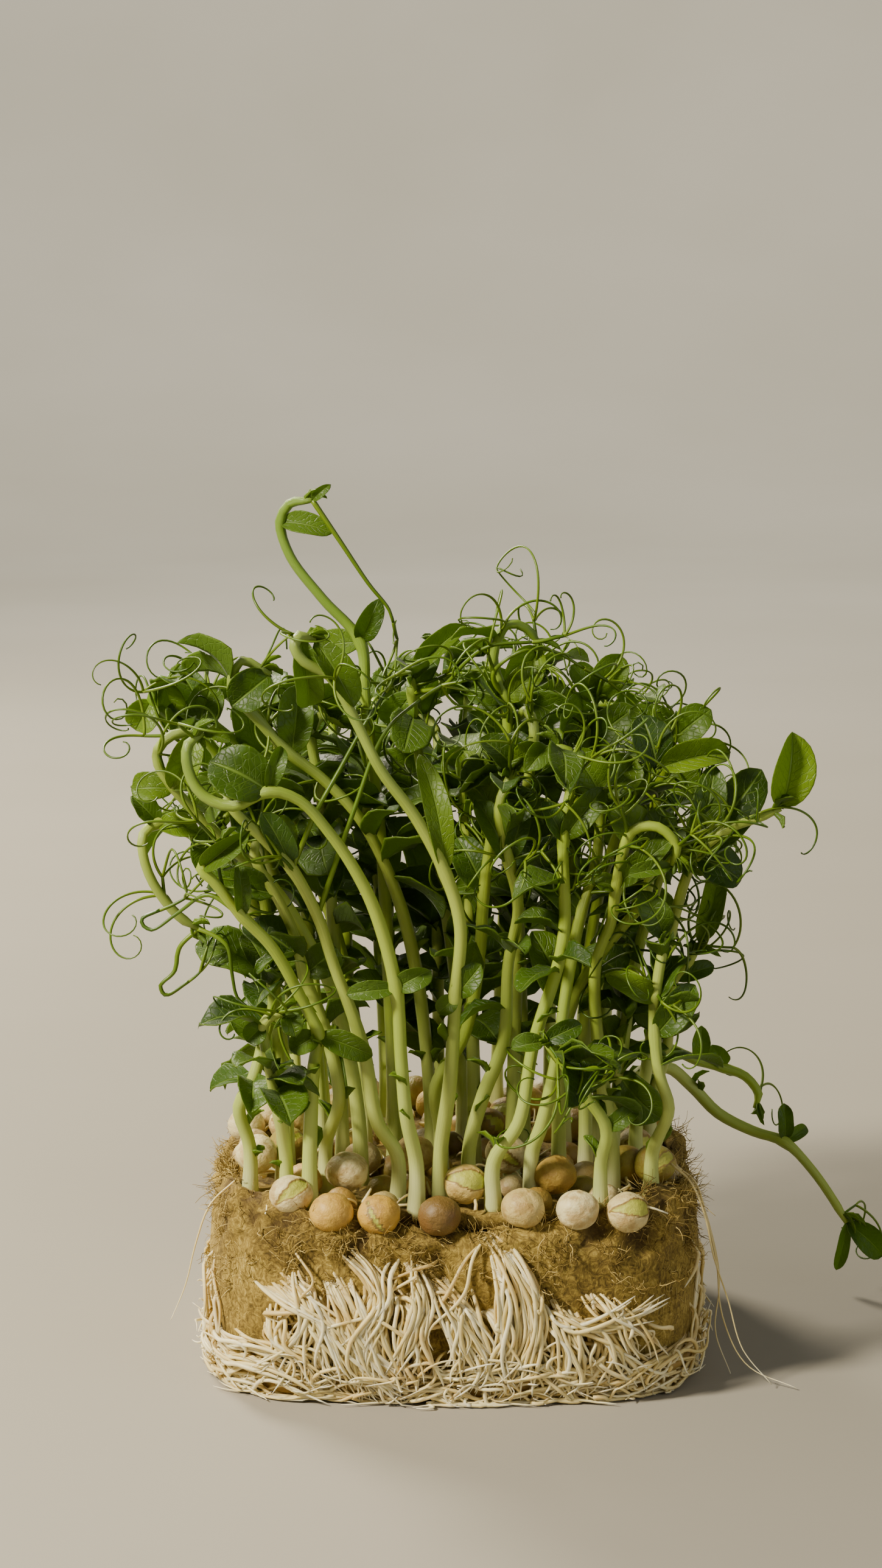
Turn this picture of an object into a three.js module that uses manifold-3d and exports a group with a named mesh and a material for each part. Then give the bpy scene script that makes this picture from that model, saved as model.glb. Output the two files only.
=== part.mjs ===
// A block of pea shoot microgreens as it stands once it is lifted out of its growing tray.
// A felt growing mat sits in the woven root mat that has grown round its foot, a layer of
// soaked peas lies on top, and every shoot stands in a hole of its own among the peas.
// Millimetres, +Z up, origin at the centre of the flat base, the photographed side at -Y.

import * as THREE from 'three';
import Module from 'manifold-3d';

const wasm = await Module();
wasm.setup();
const { Manifold, Mesh } = wasm;

// Sizes of the block
const HALF_WIDTH = 52;
const HALF_DEPTH = 50;
const WIDEST_AT = 22;
const PLAN_POWER = 4;
const FOOT_TAPER = 0.055;
const TOP_TAPER = 0.03;
const LUMP = 0.5;
const GAP = 0.35;

// Heights of the layers
const ROOT_FLOOR = 2.4;
const FELT_BOTTOM = ROOT_FLOOR + 0.4;
const POCKET_FLOOR = 35.3;
const SEED_BOTTOM = POCKET_FLOOR + 0.4;
const SEED_TOP = 42.4;
const RIM_HEIGHT = 39;

// Peas: the ones at the front are laid by eye, the others are strewn over the top
const PEA_RADIUS = 4.5;
const PEA_SPACING = 10.6;
const PEA_TO_PEA = 8.6;
const PEA_TO_STEM = 6.1;
const PEA_HEIGHT = 42.1;
const PEA_EDGE = 4.4;
const FRONT_PEAS = [
  [-33.8, -42, 42.4], [-25.3, -46.3, 39.9], [-15.6, -46.5, 39.5], [-3.2, -46.5, 39.3],
  [13.9, -46.3, 40.9], [25, -46.3, 40.5], [35.4, -45.5, 39.8], [2.1, -38.5, 43.8],
  [20.8, -34, 44.5], [-22.5, -33, 45], [10.9, -20, 45], [-8.5, -21.5, 45.2],
  [-42, -19, 44.8], [36, -22.5, 43.5], [42.1, -26, 44.6],
];

// Shoots
const HOLE_FLOOR = 36.9;
const FOOT_HEIGHT = 37.4;
const FOOT_TOP = 49;
const STEM_RADIUS = 1.6;
const STEM_TIP_RADIUS = 1.05;
const STEM_SIDES = 4;
const TENDRIL_RADIUS = 0.55;
const TENDRIL_SIDES = 3;
const BLADE_THICKNESS = 0.7;
const BLADE_NECK = 1.3;
const BLADE_BEND = 0.1;
const WIDE_BLADE = 6.5;
const CLEARANCE = 0.45;
const FILL_SHOOTS = 20;
const FILL_SPACING = 7.5;
const FILL_EDGE = 8.5;
const BACK_LEAN = 23;

const MATERIALS = {
  felt: new THREE.MeshStandardMaterial({ color: '#a8864a', roughness: 0.95, metalness: 0 }),
  root: new THREE.MeshStandardMaterial({ color: '#e6dfc6', roughness: 0.6, metalness: 0 }),
  pea: new THREE.MeshStandardMaterial({ color: '#cdb483', roughness: 0.55, metalness: 0 }),
  shoot: new THREE.MeshStandardMaterial({ color: '#6f8f35', roughness: 0.5, metalness: 0 }),
};

const vec = (x, y, z) => new THREE.Vector3(x, y, z);
const TO_VIEWER = vec(0.15, -0.9, 0.4);

// A run of random numbers between 0 and 1 that is the same on every build
function dice(seed) {
  let state = seed;
  return () => {
    state = (state * 16807) % 2147483647;
    return state / 2147483647;
  };
}

// Solids: points and triangles become a closed body, and bodies are joined or cut
function solid(points, triangles) {
  const geometry = new THREE.BufferGeometry().setFromPoints(points);
  geometry.setIndex(triangles.flat());
  return solidOf(geometry);
}

function solidOf(geometry) {
  return new Manifold(
    new Mesh({
      numProp: 3,
      vertProperties: new Float32Array(geometry.attributes.position.array),
      triVerts: new Uint32Array(geometry.index.array),
    }),
  );
}

function named(name, body, material) {
  const shape = body.getMesh();
  const geometry = new THREE.BufferGeometry();
  geometry.setAttribute('position', new THREE.BufferAttribute(shape.vertProperties, 3));
  geometry.setIndex(new THREE.BufferAttribute(shape.triVerts, 1));
  geometry.computeVertexNormals();
  const mesh = new THREE.Mesh(geometry, material);
  mesh.name = name;
  return mesh;
}

// A body wrapped over rings of points, closed to a middle point at both ends
function wrapped(start, rings, end) {
  const count = rings[0].length;
  const points = [start, ...rings.flat(), end];
  const last = points.length - 1;
  const triangles = [];
  for (let k = 0; k < count; k++) {
    const next = (k + 1) % count;
    triangles.push([0, 1 + next, 1 + k]);
    for (let ring = 0; ring < rings.length - 1; ring++) {
      const low = 1 + ring * count;
      const high = low + count;
      triangles.push([low + k, low + next, high + next], [low + k, high + next, high + k]);
    }
    triangles.push([last - count + k, last - count + next, last]);
  }
  return solid(points, triangles);
}

// A tapered stalk through a run of points
function stalk(points, radii, sides) {
  const tangents = points.map((point, i) => {
    const before = points[Math.max(i - 1, 0)];
    const after = points[Math.min(i + 1, points.length - 1)];
    return after.clone().sub(before).normalize();
  });
  let across = vec(1, 0.3, 0.1).cross(tangents[0]).normalize();
  const rings = points.map((point, i) => {
    across = across.clone().addScaledVector(tangents[i], -across.dot(tangents[i])).normalize();
    const other = tangents[i].clone().cross(across);
    return Array.from({ length: sides }, (_, k) => {
      const angle = (k / sides) * 2 * Math.PI;
      return point
        .clone()
        .addScaledVector(across, radii[i] * Math.cos(angle))
        .addScaledVector(other, radii[i] * Math.sin(angle));
    });
  });
  return wrapped(points[0], rings, points[points.length - 1]);
}

// The outline of the block in plan, swelling between foot and top, with soft lumps
function side(angle, z, out = 0) {
  const c = Math.cos(angle);
  const s = Math.sin(angle);
  const plan =
    ((Math.abs(c) / HALF_WIDTH) ** PLAN_POWER + (Math.abs(s) / HALF_DEPTH) ** PLAN_POWER) **
    (-1 / PLAN_POWER);
  const taper = z < WIDEST_AT ? FOOT_TAPER : TOP_TAPER;
  const swell = 1 - taper * ((z - WIDEST_AT) / WIDEST_AT) ** 2;
  const radius = plan * swell + LUMP * Math.sin(7 * angle + z / 8) + out;
  return vec(c * radius, s * radius, z);
}

function withinBlock(x, y, edge) {
  const limit = side(Math.atan2(y, x), RIM_HEIGHT, -edge);
  return Math.hypot(x, y) < Math.hypot(limit.x, limit.y);
}

function around(count, place) {
  return Array.from({ length: count }, (_, k) => place((k / count) * 2 * Math.PI - Math.PI));
}

function swellNear(angle, centre, spread) {
  return Math.exp(-(((angle - centre) / spread) ** 2));
}

// The felt stands up at the two front corners and dips between them
function rimHeight(angle) {
  return (
    RIM_HEIGHT +
    4 * swellNear(angle, -2.35, 0.22) +
    4 * swellNear(angle, -0.78, 0.2) -
    3 * swellNear(angle, -1.57, 0.5) +
    0.6 * Math.sin(9 * angle)
  );
}

// Growing mat: a felt block with a shallow pocket in its top
const FELT_STEPS = 34;
function growingMat() {
  const ring = (height, out) =>
    around(FELT_STEPS, (a) => side(a, typeof height === 'number' ? height : height(a), out));
  const rings = [
    ring(FELT_BOTTOM, -1.2),
    ring(FELT_BOTTOM + 1.8, 0),
    ring(26, 0),
    ring((a) => rimHeight(a) - 2, 0),
    ring((a) => rimHeight(a), -1.6),
    ring((a) => rimHeight(a) - 0.5, -4),
    ring(POCKET_FLOOR, -4.6),
  ];
  return wrapped(vec(0, 0, FELT_BOTTOM), rings, vec(0, 0, POCKET_FLOOR));
}

// Root mat: a woven dish round the foot of the felt, with strands climbing its sides
const STRAND_SIDES = 3;
const STRAND_STANDOFF = 1.5;
const FRONT_STRANDS = 18;
const OTHER_STRANDS = 8;
function rootMat() {
  const edge = (a) => 6.6 + 1.3 * Math.sin(5 * a + 1) + 0.9 * Math.sin(11 * a + 2);
  const ring = (height, out) =>
    around(FELT_STEPS, (a) => side(a, typeof height === 'number' ? height : height(a), out));
  const dish = wrapped(
    vec(0, 0, 0),
    [
      ring(0, 0.6),
      ring(1.6, 2),
      ring((a) => edge(a) - 1, 2.1),
      ring(edge, 0.45),
      ring(ROOT_FLOOR, 0.45),
    ],
    vec(0, 0, ROOT_FLOOR),
  );
  const roll = dice(71);
  const strand = (angle, top, radius) => {
    const drift = (roll() - 0.5) * 0.16;
    const wave = roll() * 6;
    const heights = [top, top - 4, top * 0.55, 2.6];
    const points = heights.map((z, i) => {
      const turn = drift * (i / 3) + 0.02 * Math.sin(wave + i * 1.7);
      return side(angle + turn, z, STRAND_STANDOFF + (radius - 0.8));
    });
    const radii = [0.4, 0.9, 1, 1.1].map((share) => share * radius);
    return stalk(points, radii, STRAND_SIDES);
  };
  const strands = [];
  for (let k = 0; k < FRONT_STRANDS; k++) {
    const angle = -2.36 + (k + 0.7 * roll()) * (1.58 / FRONT_STRANDS);
    strands.push(strand(angle, 20 + 13 * roll(), 0.75 + 0.15 * roll()));
  }
  for (let k = 0; k < OTHER_STRANDS; k++) {
    const angle = -0.7 + (k + 0.7 * roll()) * (4.6 / OTHER_STRANDS);
    strands.push(strand(angle, 12 + 14 * roll(), 0.75 + 0.1 * roll()));
  }
  const bundleAngle = Math.atan2(-49, 12);
  strands.push(strand(bundleAngle, 33.5, 1.3));
  return Manifold.union([dish, ...strands]);
}

// The strewn peas stand in rows set half a pea apart, each a little out of its place
function peaPlaces(feet) {
  const roll = dice(29);
  const places = FRONT_PEAS.map((place) => vec(...place));
  const rowStep = (PEA_SPACING * Math.sqrt(3)) / 2;
  const rows = Math.ceil((2 * HALF_DEPTH) / rowStep);
  const columns = Math.ceil((2 * HALF_WIDTH) / PEA_SPACING);
  for (let row = 0; row <= rows; row++) {
    for (let column = 0; column <= columns; column++) {
      const x = -HALF_WIDTH + (column + 0.5 * (row % 2)) * PEA_SPACING + 2 * (roll() - 0.5);
      const y = -HALF_DEPTH + row * rowStep + 2 * (roll() - 0.5);
      const z = PEA_HEIGHT + 0.6 * roll();
      const inside = withinBlock(x, y, PEA_EDGE);
      const free =
        places.every((p) => Math.hypot(p.x - x, p.y - y) > PEA_TO_PEA) &&
        feet.every((f) => Math.hypot(f.x - x, f.y - y) > PEA_TO_STEM);
      if (inside && free) {
        places.push(vec(x, y, z));
      }
    }
  }
  return places;
}

function pea(place, index, extra = 0) {
  const roll = dice(500 + index * 37);
  const radius = PEA_RADIUS * (0.92 + 0.12 * roll());
  const geometry = new THREE.OctahedronGeometry(1, 1);
  const merged = roundPoints(geometry);
  merged.scale(radius + extra, (radius + extra) * 0.94, (radius + extra) * 0.92);
  merged.rotateZ(roll() * 3);
  merged.translate(place.x, place.y, place.z);
  return solidOf(merged);
}

// The same corners written once each, so the body is closed
function roundPoints(geometry) {
  const places = geometry.attributes.position;
  const keys = new Map();
  const points = [];
  const index = [];
  for (let i = 0; i < places.count; i++) {
    const point = new THREE.Vector3().fromBufferAttribute(places, i);
    const key = point.toArray().map((v) => Math.round(v * 1e4)).join(' ');
    if (!keys.has(key)) {
      keys.set(key, points.length);
      points.push(point);
    }
    index.push(keys.get(key));
  }
  const merged = new THREE.BufferGeometry().setFromPoints(points);
  merged.setIndex(index);
  return merged;
}

// Shoots set by eye. foot: where the stem leaves the peas; stem: the points it bends through;
// leaves: [stem point, tip x, y, z, width, cup]; curls: tendrils and thin leaf stalks, each
// with the stem point it leaves from. Cup is how far the two halves fold up, in degrees.
const HEROES = [
  {
    // the tallest, standing clear of the others and bent over at its tip
    foot: [-13, -8],
    stem: [[-14, -8, 81], [-16, -6, 114], [-19, -4, 140], [-20, -2, 152], [-28, 0, 161], [-35, 2, 170],
      [-37, 3, 177], [-35, 2, 181], [-30, -1, 182]],
    leaves: [[5, -17, -5, 160, 5, 25], [5, -28, 3, 150, 6, 20], [8, -27, 0, 176, 5, 30],
      [10, -27, -3, 185, 2.5, 40]],
    curls: [{ from: 10, through: [[-24, -1, 173], [-18, -1, 164], [-14, -1, 159], [-13, -1, 156]] }],
  },
  {
    // long pale stem across the middle with a nodding, leafy hook
    foot: [-3, -34],
    stem: [[-1, -39, 66], [0, -41, 84], [1, -43, 99], [-2, -44, 110], [-8, -46, 122], [-15, -48, 132],
      [-20, -48, 142], [-25, -49, 151], [-30, -50, 154], [-32, -50, 157], [-31, -49, 159], [-28, -47, 158]],
    leaves: [[13, -21, -49, 146, 7, 30], [12, -29, -44, 144, 6.4, 35], [5, -5, -41, 132, 5.5, 30],
      [3, 5, -42, 90, 5, 25], [3, -3, -42, 81, 4, 25]],
  },
  {
    // hooked loop at the left with a big round leaf
    foot: [-8, -42],
    stem: [[-10, -45, 60], [-11, -46, 72], [-12, -47, 87], [-16, -49, 103], [-20, -51, 112], [-25, -53, 120],
      [-31, -55, 127], [-37, -56, 129], [-44, -56, 126], [-50, -55, 128], [-53, -54, 133], [-53, -53, 138],
      [-50, -52, 140]],
    leaves: [[9, -47, -57, 135, 10, 15], [9, -35, -54, 137, 4, 35], [4, -6, -48, 91, 5, 30],
      [4, -21, -48, 86, 4, 30], [14, -45, -53, 139, 3, 40]],
  },
  {
    // outer hook at the left, curled over a cupped leaf
    foot: [-20, -22],
    stem: [[-22, -22, 66], [-26, -24, 82], [-34, -28, 99], [-40, -32, 108], [-47, -36, 115], [-57, -40, 127],
      [-60, -41, 132], [-60, -41, 135], [-57, -41, 138], [-52, -40, 138]],
    leaves: [[11, -57, -42, 128, 7, 35], [7, -65, -38, 126, 6, 25]],
  },
  {
    // stem that divides into two thin leaf stalks
    foot: [-12, -35],
    stem: [[-16, -36, 56], [-19, -38, 73], [-25, -40, 91], [-28, -42, 101], [-33, -44, 111], [-38, -46, 117],
      [-44, -47, 123], [-47, -46, 127]],
    leaves: [[6, -38, -45, 122, 5.5, 25], [9, -51, -43, 122, 6, 30]],
    curls: [
      { from: 6, through: [[-28, -46, 123], [-23, -45, 132], [-18, -44, 141], [-14, -43, 147]] },
      { from: 5, through: [[-20, -41, 124], [-16, -40, 135], [-13, -40, 140], [-7, -39, 145]] },
    ],
  },
  {
    // the drooping one at the far left, ending in forked tendrils
    foot: [-36, -10],
    stem: [[-37, -12, 69], [-40, -16, 88], [-44, -20, 104], [-53, -26, 114], [-61, -30, 118], [-64, -32, 116],
      [-64, -33, 112], [-62, -33, 106], [-57, -32, 99], [-53, -31, 96]],
    leaves: [[6, -66, -31, 123, 5, 25], [6, -53, -33, 117, 5.5, 35]],
    curls: [
      { from: 11, through: [[-57, -31, 92], [-58, -31, 87], [-61, -31, 84], [-60, -31, 82], [-55, -31, 85]] },
      { from: 11, through: [[-50, -32, 95], [-47, -33, 93], [-46, -33, 87], [-45, -33, 82], [-43, -33, 80]] },
    ],
  },
  {
    // kinked stem with a clamshell leaf
    foot: [-30, -39],
    stem: [[-29, -40, 69], [-28, -41, 76], [-31, -42, 83], [-37, -45, 95], [-43, -47, 102], [-49, -49, 110],
      [-51, -49, 112], [-49, -48, 115], [-45, -46, 117]],
    leaves: [[8, -42, -49, 119, 7, 55], [6, -43, -49, 112, 4, 40], [3, -33, -42, 73, 5, 25],
      [3, -18, -42, 72, 5, 25]],
    curls: [{ from: 6, through: [[-50, -45, 106], [-56, -43, 102], [-62, -42, 98], [-64, -41, 100],
      [-60, -41, 102]] }],
  },
  {
    foot: [-27, -27],
    stem: [[-24, -34, 61], [-27, -34, 76], [-31, -35, 87], [-33, -36, 96], [-36, -37, 103], [-41, -38, 113],
      [-40, -36, 117]],
    leaves: [[8, -33, -34, 116, 7, 20], [4, -25, -33, 92, 7, 25], [8, -44, -34, 119, 6, 25]],
  },
  {
    // short one low at the front left
    foot: [-35, -37],
    stem: [[-36, -41, 59], [-38, -44, 71], [-39, -45, 79], [-37, -45, 81], [-34, -44, 81]],
    leaves: [[4, -42, -46, 76, 5, 35], [6, -32, -44, 77, 5, 35], [2, -31, -44, 62, 4, 25]],
  },
  {
    foot: [-43, -28],
    stem: [[-45, -30, 58], [-42, -30, 64], [-40, -28, 71], [-38, -26, 79], [-39, -24, 85]],
    leaves: [[6, -43, -22, 93, 6, 25], [4, -46, -30, 76, 4, 25]],
  },
  {
    foot: [-3, -17],
    stem: [[-4, -21, 60], [2, -25, 72], [5, -27, 88], [6, -27, 103], [8, -27, 119], [9, -25, 126],
      [7, -24, 130]],
    leaves: [[6, 2, -26, 131, 7, 25], [8, 14, -26, 133, 7, 25], [5, 1, -24, 113, 7, 20]],
  },
  {
    foot: [3, -30],
    stem: [[6, -31, 61], [10, -32, 72], [11, -32, 89], [13, -33, 101], [11, -34, 111], [9, -35, 122],
      [12, -33, 130]],
    leaves: [[6, 5, -35, 122, 6, 25], [6, 14, -34, 122, 4.5, 30], [8, 6, -34, 136, 6, 30],
      [8, 17, -33, 134, 6, 30]],
  },
  {
    // ring-shaped hook right of the middle
    foot: [8, -40],
    stem: [[13, -43, 58], [16, -41, 74], [22, -39, 95], [22, -38, 116], [23, -37, 124], [24, -36, 130],
      [23, -36, 134], [19, -36, 135]],
    leaves: [[5, 29, -38, 126, 6, 35], [5, 18, -39, 123, 4, 25], [9, 14, -38, 131, 5, 30]],
  },
  {
    foot: [22, -21],
    stem: [[22, -24, 64], [24, -27, 78], [28, -29, 87], [35, -31, 97], [39, -31, 102], [40, -31, 107],
      [40, -30, 112]],
    leaves: [[3, 17, -28, 93, 9, 20], [8, 33, -29, 121, 8, 20], [8, 43, -28, 120, 7, 25]],
  },
  {
    // short one with a leaf spread sideways, front right
    foot: [30, -41],
    stem: [[31, -44, 57], [27, -46, 64], [23, -47, 70], [18, -47, 76]],
    leaves: [[5, 12, -48, 75, 4.5, 35], [5, 25, -46, 79, 4.5, 30], [2, 37, -45, 61, 4, 25]],
  },
  {
    foot: [16, -34],
    stem: [[18, -36, 56], [21, -35, 70], [23, -33, 84], [26, -30, 99], [29, -28, 109], [30, -26, 118],
      [30, -25, 123]],
    leaves: [[8, 25, -25, 132, 8, 25], [8, 38, -26, 129, 8, 25], [5, 18, -28, 106, 7, 20]],
  },
  {
    // hook at the right with a grey leaf hanging in it
    foot: [33, -28],
    stem: [[30, -29, 68], [29, -32, 89], [32, -34, 98], [33, -36, 106], [36, -39, 118], [41, -40, 119],
      [45, -40, 115], [44, -40, 111]],
    leaves: [[5, 43, -40, 116, 5, 25], [5, 29, -37, 107, 4, 30], [9, 36, -41, 109, 4, 40]],
  },
  {
    foot: [41, -34],
    stem: [[44, -39, 60], [42, -39, 67], [41, -38, 75], [41, -37, 82], [43, -35, 95]],
    leaves: [[5, 33, -39, 88, 5, 30], [6, 39, -36, 104, 6, 25], [4, 49, -38, 84, 6.5, 25]],
  },
  {
    // the one reaching furthest right, ending in a large closed leaf
    foot: [39, -10],
    stem: [[41, -12, 62], [43, -16, 78], [45, -20, 92], [49, -26, 110], [53, -28, 114], [57, -29, 117],
      [62, -30, 119], [67, -30, 121]],
    leaves: [[9, 70, -30, 135, 9.5, 30], [5, 52, -28, 127, 7, 25], [5, 62, -24, 126, 9, 20],
      [5, 58, -26, 106, 8, 20]],
  },
  {
    // stem with a pod-like folded leaf
    foot: [43, 5],
    stem: [[46, 2, 62], [47, -6, 80], [50, -8, 84], [52, -9, 88]],
    leaves: [[5, 57, -8, 103, 6.5, 45], [3, 55, -5, 82, 4, 25]],
  },
  {
    // a shoot that has toppled over the right edge and trails towards the table
    foot: [41, 31],
    stem: [[48, 32, 51], [54, 34, 46], [60, 33, 40], [68, 32, 36], [75, 30, 34], [81, 29, 28], [86, 28, 21],
      [89, 27, 16]],
    leaves: [[6, 75, 31, 42, 3.5, 25], [6, 80, 33, 37, 3, 25], [9, 97, 27, 9, 6, 30], [9, 87, 26, 6, 3, 30]],
  },
  {
    foot: [35, 38],
    stem: [[45, 41, 54], [56, 42, 50], [62, 43, 48], [67, 43, 46], [70, 42, 42], [69, 41, 39]],
    leaves: [[4, 60, 42, 53, 4, 25], [3, 57, 41, 57, 4, 25], [2, 51, 41, 60, 4, 25]],
  },
  {
    // dark loop above the left hooks
    foot: [-5, -6],
    stem: [[-8, -8, 81], [-13, -14, 102], [-20, -18, 117], [-28, -20, 126], [-34, -22, 131], [-41, -24, 139],
      [-46, -25, 145], [-44, -25, 151], [-38, -24, 148]],
    leaves: [[10, -45, -26, 142, 8.5, 30], [6, -32, -21, 144, 7, 20]],
  },
  {
    foot: [2, 10],
    stem: [[0, 8, 78], [-4, 4, 106], [-8, 0, 130], [-9, -2, 141], [-9, -3, 146]],
    leaves: [[6, 1, -3, 155, 6.5, 50], [5, -4, 0, 151, 5, 25], [5, -14, 2, 134, 7, 20]],
    curls: [{ from: 5, through: [[-2, -10, 144], [2, -14, 149], [7, -17, 153], [16, -18, 154]] }],
  },
  {
    // round hooked head at the top
    foot: [15, -5],
    stem: [[14, -7, 81], [13, -9, 108], [12, -11, 128], [11, -12, 141], [8, -12, 150], [11, -12, 157],
      [15, -11, 156], [18, -10, 152]],
    leaves: [[9, 12, -11, 144, 8.5, 35], [5, 18, -13, 148, 6, 25], [5, 4, -10, 143, 6, 25]],
    curls: [{ from: 5, through: [[8, -15, 147], [14, -17, 152], [20, -16, 152], [27, -14, 148]] }],
  },
  {
    foot: [28, -12],
    stem: [[28, -14, 83], [31, -16, 103], [35, -19, 116], [39, -21, 124], [42, -22, 128]],
    leaves: [[6, 56, -23, 132, 8, 45], [6, 39, -20, 138, 8, 20], [5, 47, -18, 134, 7, 20]],
  },
  {
    // highest one at the far left
    foot: [-29, 0],
    stem: [[-32, -3, 80], [-40, -9, 108], [-48, -13, 127], [-54, -16, 135], [-59, -17, 138], [-63, -18, 142],
      [-61, -17, 146], [-58, -16, 145]],
    leaves: [[7, -66, -18, 136, 7, 30], [8, -58, -15, 136, 6, 30], [5, -51, -14, 144, 7, 20]],
  },
  {
    foot: [-20, 12],
    stem: [[-24, 8, 80], [-33, 0, 110], [-42, -6, 128], [-48, -8, 133], [-53, -9, 137], [-57, -10, 139]],
    leaves: [[6, -57, -9, 147, 6, 25], [4, -45, -5, 140, 7, 20]],
  },
  {
    foot: [24, 8],
    stem: [[24, 6, 82], [26, 2, 112], [28, -2, 130], [30, -4, 140]],
    leaves: [[5, 34, -4, 149, 7, 20], [5, 25, -6, 147, 6, 20], [4, 37, -6, 137, 7, 20]],
  },
  {
    foot: [36, 10],
    stem: [[38, 6, 84], [41, -2, 108], [44, -6, 124], [46, -8, 132]],
    leaves: [[5, 53, -10, 138, 7, 20], [5, 38, -8, 139, 7, 20], [4, 52, -8, 122, 7, 20]],
  },
];

function stemPoints(foot, stem) {
  return [
    vec(foot[0], foot[1], FOOT_HEIGHT),
    vec(foot[0], foot[1], FOOT_TOP),
    ...stem.map((p) => vec(...p)),
  ];
}

// The inner and rear shoots grow by rule: each leans outward and nods at its tip
function fillShoots(feet) {
  const roll = dice(83);
  const shoots = [];
  for (let tries = 0; shoots.length < FILL_SHOOTS && tries < 900; tries++) {
    const x = (roll() - 0.5) * 86;
    const y = -20 + roll() * 62;
    const free = feet.every((f) => Math.hypot(f[0] - x, f[1] - y) > FILL_SPACING);
    if (!withinBlock(x, y, FILL_EDGE) || !free) {
      continue;
    }
    feet.push([x, y]);
    const height = 112 + 30 * roll() - 0.2 * Math.abs(x);
    const leanX = (x / HALF_WIDTH) * (6 + 14 * roll()) + 8 * (roll() - 0.5);
    const leanBack = y > 0 ? BACK_LEAN : 6;
    const leanY = (y / HALF_DEPTH) * (leanBack + 12 * roll()) + 8 * (roll() - 0.5);
    const nod = roll() * 2 * Math.PI;
    const at = (share, z) => vec(x + leanX * share, y + leanY * share, z);
    const top = at(1, height);
    const points = [
      vec(x, y, FOOT_HEIGHT),
      vec(x, y, FOOT_TOP),
      at(0.4, 49 + (height - 49) * 0.62),
      at(0.75, 49 + (height - 49) * 0.86),
      top,
      top.clone().add(vec(3.5 * Math.cos(nod), 3.5 * Math.sin(nod), 3)),
      top.clone().add(vec(8 * Math.cos(nod), 8 * Math.sin(nod), 0)),
    ];
    const leaves = [
      fillLeaf(points, 6, nod, -0.7, roll),
      fillLeaf(points, 5, nod + 2.4, 0.4, roll),
      fillLeaf(points, 3, nod + 4, 0.2, roll),
    ];
    shoots.push({ lines: [{ points, tip: STEM_TIP_RADIUS, start: STEM_RADIUS }], leaves });
  }
  return shoots;
}

function fillLeaf(points, from, heading, rise, roll) {
  const length = 12 + 5 * roll();
  const turn = heading + (roll() - 0.5);
  const reach = vec(Math.cos(turn), Math.sin(turn), rise).normalize().multiplyScalar(length);
  const face = vec(0.5 * Math.cos(turn), 0.5 * Math.sin(turn), 1);
  return { from, reach, width: 7.5 + 3 * roll(), cup: 15 + 20 * roll(), face };
}

function heroShoot(hero) {
  const points = stemPoints(hero.foot, hero.stem);
  const lines = [{ points, start: STEM_RADIUS, tip: STEM_TIP_RADIUS }];
  for (const curl of hero.curls ?? []) {
    const path = [points[curl.from].clone(), ...curl.through.map((p) => vec(...p))];
    lines.push({ points: path, start: 0.75, tip: TENDRIL_RADIUS, from: curl.from });
  }
  const leaves = hero.leaves.map(([from, x, y, z, width, cup]) => {
    return { from, reach: vec(x, y, z).sub(points[from]), width, cup, face: TO_VIEWER };
  });
  return { lines, leaves };
}

const radiusAt = (line, i) =>
  line.start + (line.tip - line.start) * (i / (line.points.length - 1));

// Stems that would run through one another are bent clear, a little at a time
const FIXED_POINTS = 2;
function bendClear(shoots) {
  const pieces = [];
  shoots.forEach((shoot, owner) => {
    shoot.lines.forEach((line, order) => {
      for (let i = 0; i < line.points.length - 1; i++) {
        pieces.push({ owner, line, i, fixed: order === 0 ? FIXED_POINTS : 1 });
      }
    });
  });
  for (let pass = 0; pass < 80; pass++) {
    let touching = 0;
    for (let a = 0; a < pieces.length; a++) {
      for (let b = a + 1; b < pieces.length; b++) {
        if (pieces[a].owner !== pieces[b].owner && pushApart(pieces[a], pieces[b])) {
          touching += 1;
        }
      }
    }
    for (const shoot of shoots) {
      for (const line of shoot.lines.slice(1)) {
        line.points[0].copy(shoot.lines[0].points[line.from]);
      }
    }
    if (touching === 0) {
      break;
    }
  }
}

function pushApart(a, b) {
  const [a0, a1] = [a.line.points[a.i], a.line.points[a.i + 1]];
  const [b0, b1] = [b.line.points[b.i], b.line.points[b.i + 1]];
  const { s, t } = nearest(a0, a1, b0, b1);
  const apart = a0.clone().lerp(a1, s).sub(b0.clone().lerp(b1, t));
  const distance = apart.length();
  const need = radiusAt(a.line, a.i) + radiusAt(b.line, b.i) + CLEARANCE;
  if (distance >= need) {
    return false;
  }
  if (distance < 0.01) {
    apart.set(0, 1, 0);
  }
  apart.normalize().multiplyScalar((need - distance) * 0.55);
  nudge(a, s, apart);
  nudge(b, t, apart.negate());
  return true;
}

function nudge(piece, share, push) {
  const weight = (1 - share) ** 2 + share ** 2;
  if (piece.i >= piece.fixed) {
    piece.line.points[piece.i].addScaledVector(push, (1 - share) / weight);
  }
  if (piece.i + 1 >= piece.fixed) {
    piece.line.points[piece.i + 1].addScaledVector(push, share / weight);
  }
}

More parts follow.
